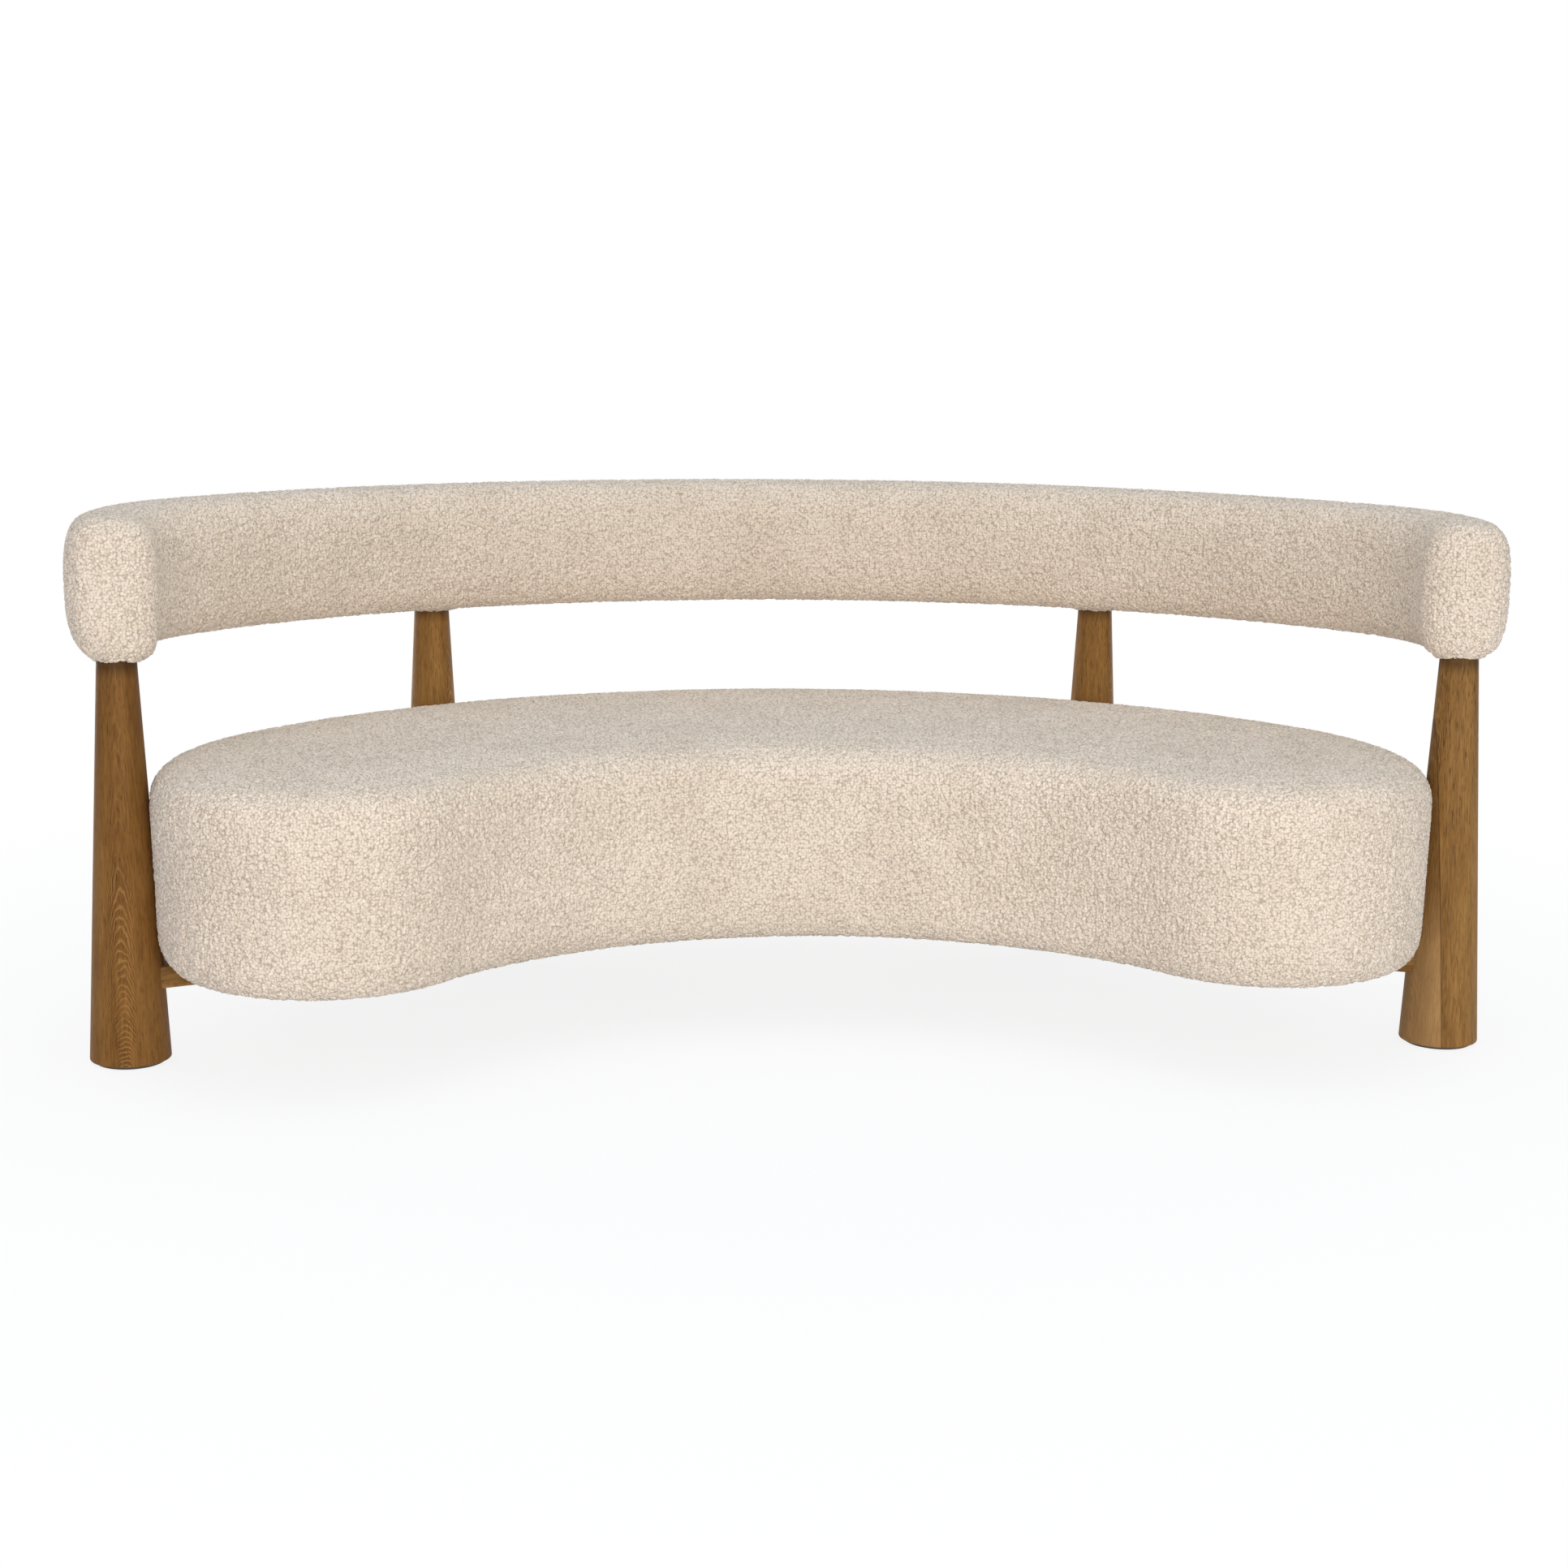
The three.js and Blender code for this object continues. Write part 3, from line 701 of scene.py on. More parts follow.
    def paint(self, graph: Graph) -> dict[str, object]:
        """Draws rings, fibres, pores and, where there is one, the glue joint, and paints shade just under the
        rail.

        Args:
            graph: The material's graph.

        Returns:
            The shader's inputs.
        """
        place = self.local(graph)
        height = graph.part(place, Axis.Z)
        side = second = None
        if self.joint is not None:
            distance, slope = self.joint
            line = graph.math("ADD", graph.times(height, slope), distance)
            side = graph.math("SUBTRACT", graph.part(place, Axis.X), line)
            second = graph.math("LESS_THAN", side, 0.0)
            place = graph.vector("ADD", place, graph.scaled(self.stave_shift, second))
        year = self.year(graph, place)
        streak = graph.noise(place, OakGrain.FIBRE.value, 2.0)
        wood = self.ringed(graph, place, height, year, streak)
        early = graph.times(graph.ranged(year, 0.0, 0.12), graph.ranged(year, 0.15, 0.40, 1.0, 0.0))
        pore = graph.ranged(graph.noise(place, OakGrain.PORE.value, 1.0), 0.54, 0.66)
        pore = graph.times(pore, graph.math("ADD", graph.times(early, 0.6), 0.4))
        wood = graph.blended(graph.times(pore, 0.62), wood, self.stained(OakShade.PORE))
        fleck = graph.ranged(graph.noise(place, OakGrain.FLECK.value, 1.0), 0.62, 0.70)
        marked = graph.times(fleck, graph.ranged(height, 0.22, 0.40, 0.25, 1.0), self.flecks)
        wood = graph.blended(marked, wood, self.stained(OakShade.FLECK))
        if side is not None:
            wood = self.glued(graph, wood, height, side, second)
        # The wood darkens towards the top, and just under the rail it is painted darker still: painted shade
        # where the rail shades the leg.
        painted_rail_shade = tuple(self.under_rail_painted_shade * channel for channel in self.top_tone)
        graded_with_painted_shade = graph.shades(graph.math("DIVIDE", height, self.tone_height),
                              (0.0, self.foot_tone), (0.935, self.top_tone), (0.965, painted_rail_shade))
        grain = graph.math("SUBTRACT", graph.times(streak, 0.4), pore)
        return {"Base Color": graph.blended(1.0, wood, graded_with_painted_shade, "MULTIPLY"), "Specular IOR Level": 0.12,
                "Roughness": graph.ranged(streak, 0.3, 0.7, 0.50, 0.66),
                "Normal": graph.bump(grain, 0.25 * MM, 0.5)}


@dataclass(frozen=True)
class PlywoodFinish(Finish):
    """Sanded birch plywood: plain faces and striped edges.

    Attributes:
        ply: The thickness of one ply.
        grain_spread: Fibres per metre, along and across the grain.
    """

    ply: float = 1.6 * MM
    grain_spread: Triple = (14.0, 260.0, 260.0)

    def paint(self, graph: Graph) -> dict[str, object]:
        """Stripes the plies over the height and adds faint face grain.

        Args:
            graph: The material's graph.

        Returns:
            The shader's inputs.
        """
        place = graph.own_place()
        height = graph.math("FRACT", graph.math("DIVIDE", graph.part(place, Axis.Z), 2.0 * self.ply))
        grain = graph.noise(place, self.grain_spread, 3.0)
        birch = graph.shades(grain, (0.3, linear(186, 150, 104)), (0.7, linear(222, 192, 148)))
        upright = graph.part(graph.node("ShaderNodeNewGeometry").outputs["Normal"], Axis.Z)
        edge = graph.ranged(graph.math("ABSOLUTE", upright), 0.2, 0.6, 0.55, 0.0)
        stripe = graph.times(graph.ranged(height, 0.46, 0.54), edge)
        return {"Base Color": graph.blended(stripe, birch, linear(150, 112, 70)), "Roughness": 0.7,
                "Normal": graph.bump(grain, 0.1 * MM, 0.4)}


@dataclass(frozen=True)
class HardboardFinish(Finish):
    """Smooth brown hardboard.

    Attributes:
        fibres: Clumps of pressed fibre per metre.
    """

    fibres: float = 240.0

    def paint(self, graph: Graph) -> dict[str, object]:
        """Mottles the pressed fibre.

        Args:
            graph: The material's graph.

        Returns:
            The shader's inputs.
        """
        fibre = graph.noise(graph.own_place(), self.fibres, 5.0)
        brown = graph.shades(fibre, (0.3, linear(104, 76, 48)), (0.7, linear(136, 102, 68)))
        return {"Base Color": brown, "Roughness": 0.75, "Normal": graph.bump(fibre, 0.1 * MM, 0.5)}


# Metal and plastic


@dataclass(frozen=True)
class ZincFinish(Finish):
    """Bright zinc plate.

    Attributes:
        clouds: Clouds per metre in the plating.
        grains: Grains per metre in its surface.
    """

    clouds: float = 130.0
    grains: float = 900.0

    def paint(self, graph: Graph) -> dict[str, object]:
        """Clouds the plating and roughens it slightly.

        Args:
            graph: The material's graph.

        Returns:
            The shader's inputs.
        """
        place = graph.own_place()
        cloud = graph.noise(place, self.clouds, 4.0)
        plate = graph.shades(cloud, (0.3, linear(164, 168, 172)), (0.7, linear(206, 208, 208)))
        return {"Base Color": plate, "Metallic": 1.0, "Roughness": graph.ranged(cloud, 0.3, 0.7, 0.28, 0.42),
                "Normal": graph.bump(graph.noise(place, self.grains, 2.0), 0.05 * MM, 0.3)}


ZINC = ZincFinish("zinc_plate", "zinc_steel")


@dataclass(frozen=True)
class GlidePlasticFinish(Finish):
    """Dark brown moulded plastic, scuffed underneath.

    Attributes:
        grains: Grains per metre in the moulded surface.
        scuff_spread: Scuffs per metre, along X, Y and Z.
    """

    grains: float = 1500.0
    scuff_spread: Triple = (90.0, 380.0, 90.0)

    def paint(self, graph: Graph) -> dict[str, object]:
        """Adds the mould grain and scuffs.

        Args:
            graph: The material's graph.

        Returns:
            The shader's inputs.
        """
        place = graph.own_place()
        scuff = graph.ranged(graph.noise(place, self.scuff_spread, 3.0), 0.55, 0.75)
        brown = graph.blended(graph.times(scuff, 0.4), linear(44, 38, 32), linear(84, 76, 68))
        return {"Base Color": brown, "Roughness": graph.ranged(scuff, 0.0, 1.0, 0.5, 0.75),
                "Normal": graph.bump(graph.noise(place, self.grains, 2.0), 0.08 * MM, 0.4)}


# Mesh work


def ring_from(bm: BMesh, corner: Vector, turns: Sequence[tuple[Vector, float, int]]) -> None:
    """Spins one corner about a row of centres, so that its path is a chain of arcs.

    Args:
        bm: The mesh to draw in.
        corner: Where the chain starts.
        turns: For each arc its centre, its turn clockwise from above in radians, and its steps.
    """
    last = bm.verts.new(corner)
    for centre, angle, steps in turns:
        for _ in range(steps):
            spun = bmesh.ops.spin(bm, geom=[last], cent=centre, axis=-UP, angle=angle / steps, steps=1)
            last = next(item for item in spun["geom_last"] if isinstance(item, Corner))


def turned(profile: Sequence[tuple[float, float]], middle: Vector, sides: int) -> BMesh:
    """Spins a closed profile about an upright axis.

    Args:
        profile: Pairs of radius and height, in order round the profile.
        middle: A point on the axis.
        sides: Steps of the spin.

    Returns:
        The turned mesh.
    """
    bm = bmesh.new()
    corners = [bm.verts.new(middle + Vector((radius, 0.0, height))) for radius, height in profile]
    edges = [bm.edges.new((a, b)) for a, b in zip(corners, corners[1:] + corners[:1])]
    bmesh.ops.spin(bm, geom=corners + edges, cent=middle, axis=UP, angle=2.0 * math.pi, steps=sides,
                   use_merge=True)
    bmesh.ops.remove_doubles(bm, verts=bm.verts, dist=MERGE)
    return bm


def rim_at(bm: BMesh, height: float) -> list[Edge]:
    """Finds the edges that lie level at a height."""
    return [edge for edge in bm.edges if all(abs(corner.co.z - height) < LEVEL for corner in edge.verts)]


def rounded(bm: BMesh, edges: list[Edge], radius: float, segments: int, clamp: bool = False) -> None:
    """Rounds edges of a mesh.

    Args:
        bm: The mesh.
        edges: The edges.
        radius: How far back the faces are cut.
        segments: Steps of the rounding.
        clamp: Whether it stops where it would meet another edge.
    """
    bmesh.ops.bevel(bm, geom=edges, offset=radius, segments=segments, profile=0.5, affect="EDGES",
                    clamp_overlap=clamp, material=-1)


def added(name: str, data: bpy.types.ID) -> Piece:
    """Puts an object into the scene.

    Args:
        name: Its name.
        data: Its mesh, lamp or camera.

    Returns:
        The new object.
    """
    thing = bpy.data.objects.new(name, data)
    bpy.context.scene.collection.objects.link(thing)
    return thing


def finished(bm: BMesh, name: str, finish: Optional[Finish] = None, smooth_angle: float = 35.0) -> Piece:
    """Turns a bmesh into an object of the scene, with its faces pointing out.

    Args:
        bm: The mesh, which is freed.
        name: The piece's name.
        finish: The finish that it wears.
        smooth_angle: Edges sharper than this many degrees stay crisp.

    Returns:
        The new object.
    """
    bmesh.ops.recalc_face_normals(bm, faces=bm.faces)
    for face in bm.faces:
        face.smooth = True
    for edge in bm.edges:
        edge.smooth = len(edge.link_faces) != 2 or edge.calc_face_angle(0.0) < math.radians(smooth_angle)
    mesh = bpy.data.meshes.new(name)
    bm.to_mesh(mesh)
    bm.free()
    if finish is not None:
        mesh.materials.append(finish.material())
    return added(name, mesh)


def settled(piece: Piece) -> None:
    """Applies a piece's modifiers for good.

    Args:
        piece: The piece whose mesh is replaced by what its modifiers make.
    """
    depsgraph = bpy.context.evaluated_depsgraph_get()
    mesh = bpy.data.meshes.new_from_object(piece.evaluated_get(depsgraph))
    old = piece.data
    piece.modifiers.clear()
    piece.data = mesh
    bpy.data.meshes.remove(old)
    mesh.name = piece.name


def remeshed(piece: Piece, spacing: float) -> None:
    """Gives a solid an even mesh with edges about as long as the spacing."""
    remesh = piece.modifiers.new("even", "REMESH")
    remesh.mode = "VOXEL"
    remesh.voxel_size = spacing
    settled(piece)


def divided(piece: Piece) -> None:
    """Divides a piece's faces once and smooths them."""
    divide = piece.modifiers.new("fine", "SUBSURF")
    divide.levels = divide.render_levels = 1
    settled(piece)


def places(piece: Piece) -> np.ndarray:
    """Reads a mesh's corners as rows of x, y and z."""
    rows = np.empty(len(piece.data.vertices) * 3, np.float32)
    piece.data.vertices.foreach_get("co", rows)
    return rows.reshape(-1, 3).astype(float)


def move_to(piece: Piece, rows: np.ndarray) -> None:
    """Writes rows of x, y and z back to a mesh's corners."""
    piece.data.vertices.foreach_set("co", rows.astype(np.float32).ravel())
    piece.data.update()


def eased(share: np.ndarray) -> np.ndarray:
    """Eases shares from 0 to 1, and holds them there outside."""
    held = np.clip(share, 0.0, 1.0)
    return held * held * (3.0 - 2.0 * held)


def floor_point(node: str) -> Vector:
    """Finds the point on the floor under the middle of a node's box."""
    low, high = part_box(node)
    return Vector(((low.x + high.x) / 2, (low.y + high.y) / 2, 0.0))


def declare(piece: Piece, slot: str, *nodes: str) -> None:
    """Puts a piece into the root body, and hides and logs the frame nodes that it stands for.

    Args:
        piece: The finished piece.
        slot: The record's material slot; not used.
        *nodes: The nodes that it replaces.
    """
    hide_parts(*nodes)
    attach(piece, "root")
    LOG.info("%s: %d faces, stands for %s", piece.name, len(piece.data.polygons), ", ".join(nodes))


# Legs and what is fixed to them


@dataclass
class Leg:
    """A turned leg that tapers from a wide foot to a narrow top.

    Attributes:
        name: Which leg it is, such as front_left.
        finish: Its oak.
        sides: Sides of the turned surface.
        rounding: The radius of the edge at the foot.
        top_share: The top's radius as a share of the foot's.
        low: The lowest corner of its node's box.
        high: The highest corner of that box.
        axis: The point on the floor under its middle.
    """

    name: str
    finish: OakFinish
    sides: int = 128
    rounding: float = 3.0 * MM
    top_share: float = 27.0 / 58.0
    low: Vector = field(init=False)
    high: Vector = field(init=False)
    axis: Vector = field(init=False)

    def __post_init__(self) -> None:
        """Reads the leg's box from the frame."""
        self.low, self.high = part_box(f"leg_{self.name}")
        self.axis = floor_point(f"leg_{self.name}")

    @property
    def foot_radius(self) -> float:
        """The radius at the foot."""
        return (self.high.x - self.low.x) / 2

    def radius_at(self, height: np.ndarray) -> np.ndarray:
        """Works out the leg's radius at heights above the floor.

        Args:
            height: Heights in metres.

        Returns:
            The radius at each height.
        """
        share = np.clip((height - self.low.z) / (self.high.z - self.low.z), 0.0, 1.0)
        return self.foot_radius * (1.0 + (self.top_share - 1.0) * share)

    def build(self) -> None:
        """Turns the leg and rounds its foot."""
        bm = bmesh.new()
        bmesh.ops.create_cone(bm, cap_ends=True, segments=self.sides, radius1=self.foot_radius,
                              radius2=self.foot_radius * self.top_share, depth=self.high.z - self.low.z)
        bmesh.ops.translate(bm, vec=self.axis + UP * (self.low.z + self.high.z) / 2, verts=bm.verts)
        rounded(bm, rim_at(bm, self.low.z), self.rounding, 5)
        declare(finished(bm, f"oak_leg_{self.name}", self.finish), self.finish.slot, f"leg_{self.name}")


@dataclass
class Glide:
    """A hard disc under a leg, with a countersunk screw.

    Attributes:
        name: Which leg it is under.
        edge: How far its lower edge is cut back.
        hole: The countersink's radius at the bottom.
        sink: How deep the countersink goes, and how much it narrows.
        shank: The radius of the screw's shank.
        recess: The depth of the recess in the screw's head.
        recess_mouth: The radius of that recess at its mouth.
        recess_end: Its radius at its end.
    """

    name: str
    edge: float = 1.2 * MM
    hole: float = 5.3 * MM
    sink: float = 2.5 * MM
    shank: float = 2.5 * MM
    recess: float = 1.4 * MM
    recess_mouth: float = 1.9 * MM
    recess_end: float = 1.6 * MM

    def build(self) -> None:
        """Makes the disc and its screw."""
        middle = floor_point(f"glide_{self.name}")
        self.disc(middle)
        self.screw(middle)

    def disc(self, middle: Vector) -> None:
        """Turns the disc.

        Args:
            middle: A point on its axis.
        """
        low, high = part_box(f"glide_{self.name}")
        radius, neck = (high.x - low.x) / 2, self.hole - self.sink
        profile = ((self.hole, 0.0), (radius - self.edge, 0.0), (radius, self.edge), (radius, high.z),
                   (neck, high.z), (neck, self.sink))
        finish = GlidePlasticFinish("glide_plastic_moulded", "glide_plastic")
        piece = finished(turned(profile, middle, 96), f"glide_disc_{self.name}", finish)
        declare(piece, finish.slot, f"glide_{self.name}")

    def screw(self, middle: Vector) -> None:
        """Turns the screw, with the recess in its head.

        Args:
            middle: A point on its axis.
        """
        low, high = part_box(f"glide_screw_{self.name}")
        head, recess_top = (high.x - low.x) / 2, low.z + self.recess
        profile = ((0.0, recess_top), (self.recess_end, recess_top), (self.recess_mouth, low.z),
                   (head, low.z), (self.shank, low.z + head - self.shank), (self.shank, high.z),
                   (0.0, high.z))
        piece = finished(turned(profile, middle, 24), f"countersunk_screw_{self.name}", ZINC)
        declare(piece, ZINC.slot, f"glide_screw_{self.name}")


@dataclass
class CrossBar:
    """A square-edged oak bar under the seat, tenoned into a front leg and the opposite rear leg.

    Attributes:
        side: The side of its front end.
        arris: How far its long edges are eased.
        joint_length: Edges up to this length belong to its joints.
    """

    side: str
    arris: float = 2.0 * MM
    joint_length: float = 150.0 * MM

    def build(self, front: Leg, rear: Leg) -> None:
        """Eases the long edges of a copy of the bar's node.

        Args:
            front: The leg at its front end.
            rear: The leg at its rear end.
        """
        node = f"cross_bar_{self.side}"
        low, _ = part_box(node)
        along = (rear.axis - front.axis).normalized()
        bm = bmesh.new()
        bm.from_mesh(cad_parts[node].data)
        bmesh.ops.remove_doubles(bm, verts=bm.verts, dist=MERGE)
        bmesh.ops.dissolve_limit(bm, angle_limit=math.radians(1.0), verts=bm.verts, edges=bm.edges)
        rounded(bm, [edge for edge in bm.edges if self.is_arris(edge, along)], self.arris, 3, clamp=True)
        # The bar gets no painted shade at its far end: its under_rail_painted_shade is 1.
        finish = OakFinish(f"oak_bar_{self.side}", "oak", origin=tuple(front.axis + UP * low.z),
                           along=tuple(along), heart=(0.05, -0.11), rings=300.0,
                           top_tone=(0.96, 0.955, 0.95), under_rail_painted_shade=1.0)
        declare(finished(bm, f"oak_bar_{self.side}", finish, smooth_angle=50.0), finish.slot, node)

    def is_arris(self, edge: Edge, along: Vector) -> bool:
        """Tells a long outer edge of the bar from the edges of its joints.

        Args:
            edge: The edge.
            along: The way that the bar runs.

        Returns:
            Whether the edge is eased.
        """
        way = edge.verts[1].co - edge.verts[0].co
        square = abs(edge.calc_face_angle(0.0) - math.pi / 2) < math.radians(5.0)
        return square and way.length > self.joint_length and abs(way.normalized().dot(along)) > 0.999


@dataclass
class FrameBolt:
    """A hexagon bolt and its washer, which hold the seat to the bars.

    Attributes:
        name: Which bolt it is.
        head: The radius of the head's corners.
        shank: The shank's radius.
        chamfer: How far the head's lower edges are cut.
        gap: The gap between head and washer, and round the shank in the washer.
    """

    name: str
    head: float = 7.5 * MM
    shank: float = 4.0 * MM
    chamfer: float = 0.8 * MM
    gap: float = 0.3 * MM

    def build(self) -> None:
        """Makes the bolt and its washer."""
        low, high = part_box(f"frame_washer_{self.name}")
        middle = floor_point(f"frame_washer_{self.name}")
        self.bolt(middle, low.z - self.gap)
        bore, rim = self.shank + self.gap, (high.x - low.x) / 2
        ring = turned(((bore, low.z), (rim, low.z), (rim, high.z), (bore, high.z)), middle, 48)
        declare(finished(ring, f"flat_washer_{self.name}", ZINC), ZINC.slot, f"frame_washer_{self.name}")

    def bolt(self, middle: Vector, head_top: float) -> None:
        """Makes the head and shank as one piece.

        Args:
            middle: The point on the floor under the bolt.
            head_top: The height of the top of its head.
        """
        low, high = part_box(f"frame_bolt_{self.name}")
        bm = bmesh.new()
        bmesh.ops.create_cone(bm, cap_ends=True, segments=6, radius1=self.head, radius2=self.head,
                              depth=head_top - low.z)
        bmesh.ops.translate(bm, vec=middle + UP * (low.z + head_top) / 2, verts=bm.verts)
        rounded(bm, rim_at(bm, low.z), self.chamfer, 2)
        top = max(bm.faces, key=lambda face: face.calc_center_median().z)
        bmesh.ops.inset_region(bm, faces=[top], thickness=self.head * math.cos(math.pi / 6) - self.shank)
        shaft = bmesh.ops.extrude_face_region(bm, geom=[top])
        raised = [item for item in shaft["geom"] if isinstance(item, Corner)]
        bmesh.ops.translate(bm, vec=UP * (high.z - head_top), verts=raised)
        bmesh.ops.delete(bm, geom=[top], context="FACES_ONLY")
        declare(finished(bm, f"hex_bolt_{self.name}", ZINC), ZINC.slot, f"frame_bolt_{self.name}")


# Upholstery


@dataclass
class Upholstery:
    """Foam under boucle: a fine, even mesh whose pile is raised from a smooth form.

    Attributes:
        legs: The legs that press against it.
        swell: How far the cover may swell over its foam.
        pressure: The pressure that swells it.
        frames: Frames that it swells over.
        resting_band: The height of the band at the bottom that rests on the boards.
        cloth_voxel: The spacing of the mesh that swells.
        voxel: The spacing of the mesh before it is divided once.
        pattern: The curls of the pile.
        pile: The height from the creases to the tops of the curls.
        base: The share of that height that lies under the smooth surface.
        unevenness: How much higher or lower some places of the pile stand.
        uneven_spread: Those places per metre.
        clearance: The gap that is kept to wood.
    """

    legs: Sequence[Leg]
    swell: float = 4.0 * MM
    pressure: float = 4.0
    frames: int = 20
    resting_band: float = 4.0 * MM
    cloth_voxel: float = 15.0 * MM
    voxel: float = 5.3 * MM
    pattern: CurlPattern = CurlPattern()
    pile: float = 4.2 * MM
    base: float = 0.85
    unevenness: float = 0.25
    uneven_spread: float = 60.0
    clearance: float = 0.4 * MM

    @property
    def room(self) -> float:
        """The room that the rough form leaves for the cover to swell."""
        return self.swell

    def swollen(self, piece: Piece) -> None:
        """Lets the cover swell as cloth under light pressure.

        What rests on the boards stays put, and the foam keeps the cover from moving inwards.

        Args:
            piece: The rough solid.
        """
        remeshed(piece, self.cloth_voxel)
        start = places(piece)
        normals = np.empty(start.size, np.float32)
        piece.data.vertices.foreach_get("normal", normals)
        normals = normals.reshape(-1, 3)
        resting = np.flatnonzero(start[:, 2] < start[:, 2].min() + self.resting_band)
        piece.vertex_groups.new(name="resting").add(resting.tolist(), 1.0, "REPLACE")
        cloth = piece.modifiers.new("swell", "CLOTH")
        cloth.settings.use_pressure = True
        cloth.settings.uniform_pressure_force = self.pressure
        cloth.settings.effector_weights.gravity = 0.0
        cloth.settings.quality = 4
        cloth.settings.vertex_group_mass = "resting"
        cloth.point_cache.frame_end = self.frames
        for frame_number in range(1, self.frames + 1):
            bpy.context.scene.frame_set(frame_number)
        settled(piece)
        bpy.context.scene.frame_set(1)
        moved = places(piece) - start
        outward = (moved * normals).sum(axis=1, keepdims=True)
        moved -= normals * np.minimum(outward, 0.0)
        reach = np.linalg.norm(moved, axis=1, keepdims=True)
        move_to(piece, start + moved * np.minimum(1.0, self.swell / np.maximum(reach, 0.001 * MM)))
        divided(piece)
        LOG.info("%s: cloth moved %.1f mm at most before its cap", piece.name, float(reach.max()) / MM)

    def refined(self, piece: Piece) -> None:
        """Gives a rough solid an even mesh with small, square faces.

        Args:
            piece: The solid.
        """
        remeshed(piece, self.voxel * (1.0))
        divided(piece)
        for face in piece.data.polygons:
            face.use_smooth = True

    def raise_pile(self, piece: Piece, share: np.ndarray) -> None:
        """Lifts clusters of curls out of the surface, and keeps the smooth surface as an attribute.

        Args:
            piece: The smooth form.
            share: How much of the pile each corner has: 0 where it lies against wood, and up to 1.
        """
        mask = piece.data.attributes.new("pile_share", "FLOAT", "POINT")
        mask.data.foreach_set("value", share.astype(np.float32))
        group = bpy.data.node_groups.new("pile", "GeometryNodeTree")
        for way in ("INPUT", "OUTPUT"):
            group.interface.new_socket("Geometry", in_out=way, socket_type="NodeSocketGeometry")
        graph = Graph(group)
        place = graph.node("GeometryNodeInputPosition").outputs[0]
        keep = graph.node("GeometryNodeStoreNamedAttribute", data_type="FLOAT_VECTOR", domain="POINT")
        smooth = graph.node("NodeGroupInput").outputs[0]
        graph.fill(keep, {"Name": "rest", "Geometry": smooth, "Value": place})
        masked = graph.node("GeometryNodeInputNamedAttribute", data_type="FLOAT")
        graph.fill(masked, {"Name": "pile_share"})
        dome, _ = self.pattern.dome(graph, self.pattern.bent(graph, place), self.pattern.nubs)
        uneven = graph.times(graph.noise(place, self.uneven_spread, 1.0), self.unevenness)
        height = graph.times(graph.math("SUBTRACT", graph.math("ADD", dome, uneven), self.base), self.pile)
        normal = graph.node("GeometryNodeInputNormal").outputs[0]
        offset = graph.scaled(normal, graph.times(height, masked.outputs["Attribute"]))
        shift = graph.node("GeometryNodeSetPosition")
        graph.fill(shift, {"Geometry": keep.outputs[0], "Offset": offset})
        graph.fill(graph.node("NodeGroupOutput"), {0: shift.outputs[0]})
        piece.modifiers.new("pile", "NODES").node_group = group
        settled(piece)

    def dressed(self, piece: Piece, *nodes: str) -> None:
        """Args:
            piece: The piece with its pile raised.
            *nodes: The nodes that it replaces.
        """
        finish = BoucleFinish("boucle_cream", "boucle")
        piece.data.materials.append(finish.material())
        declare(piece, finish.slot, *nodes)


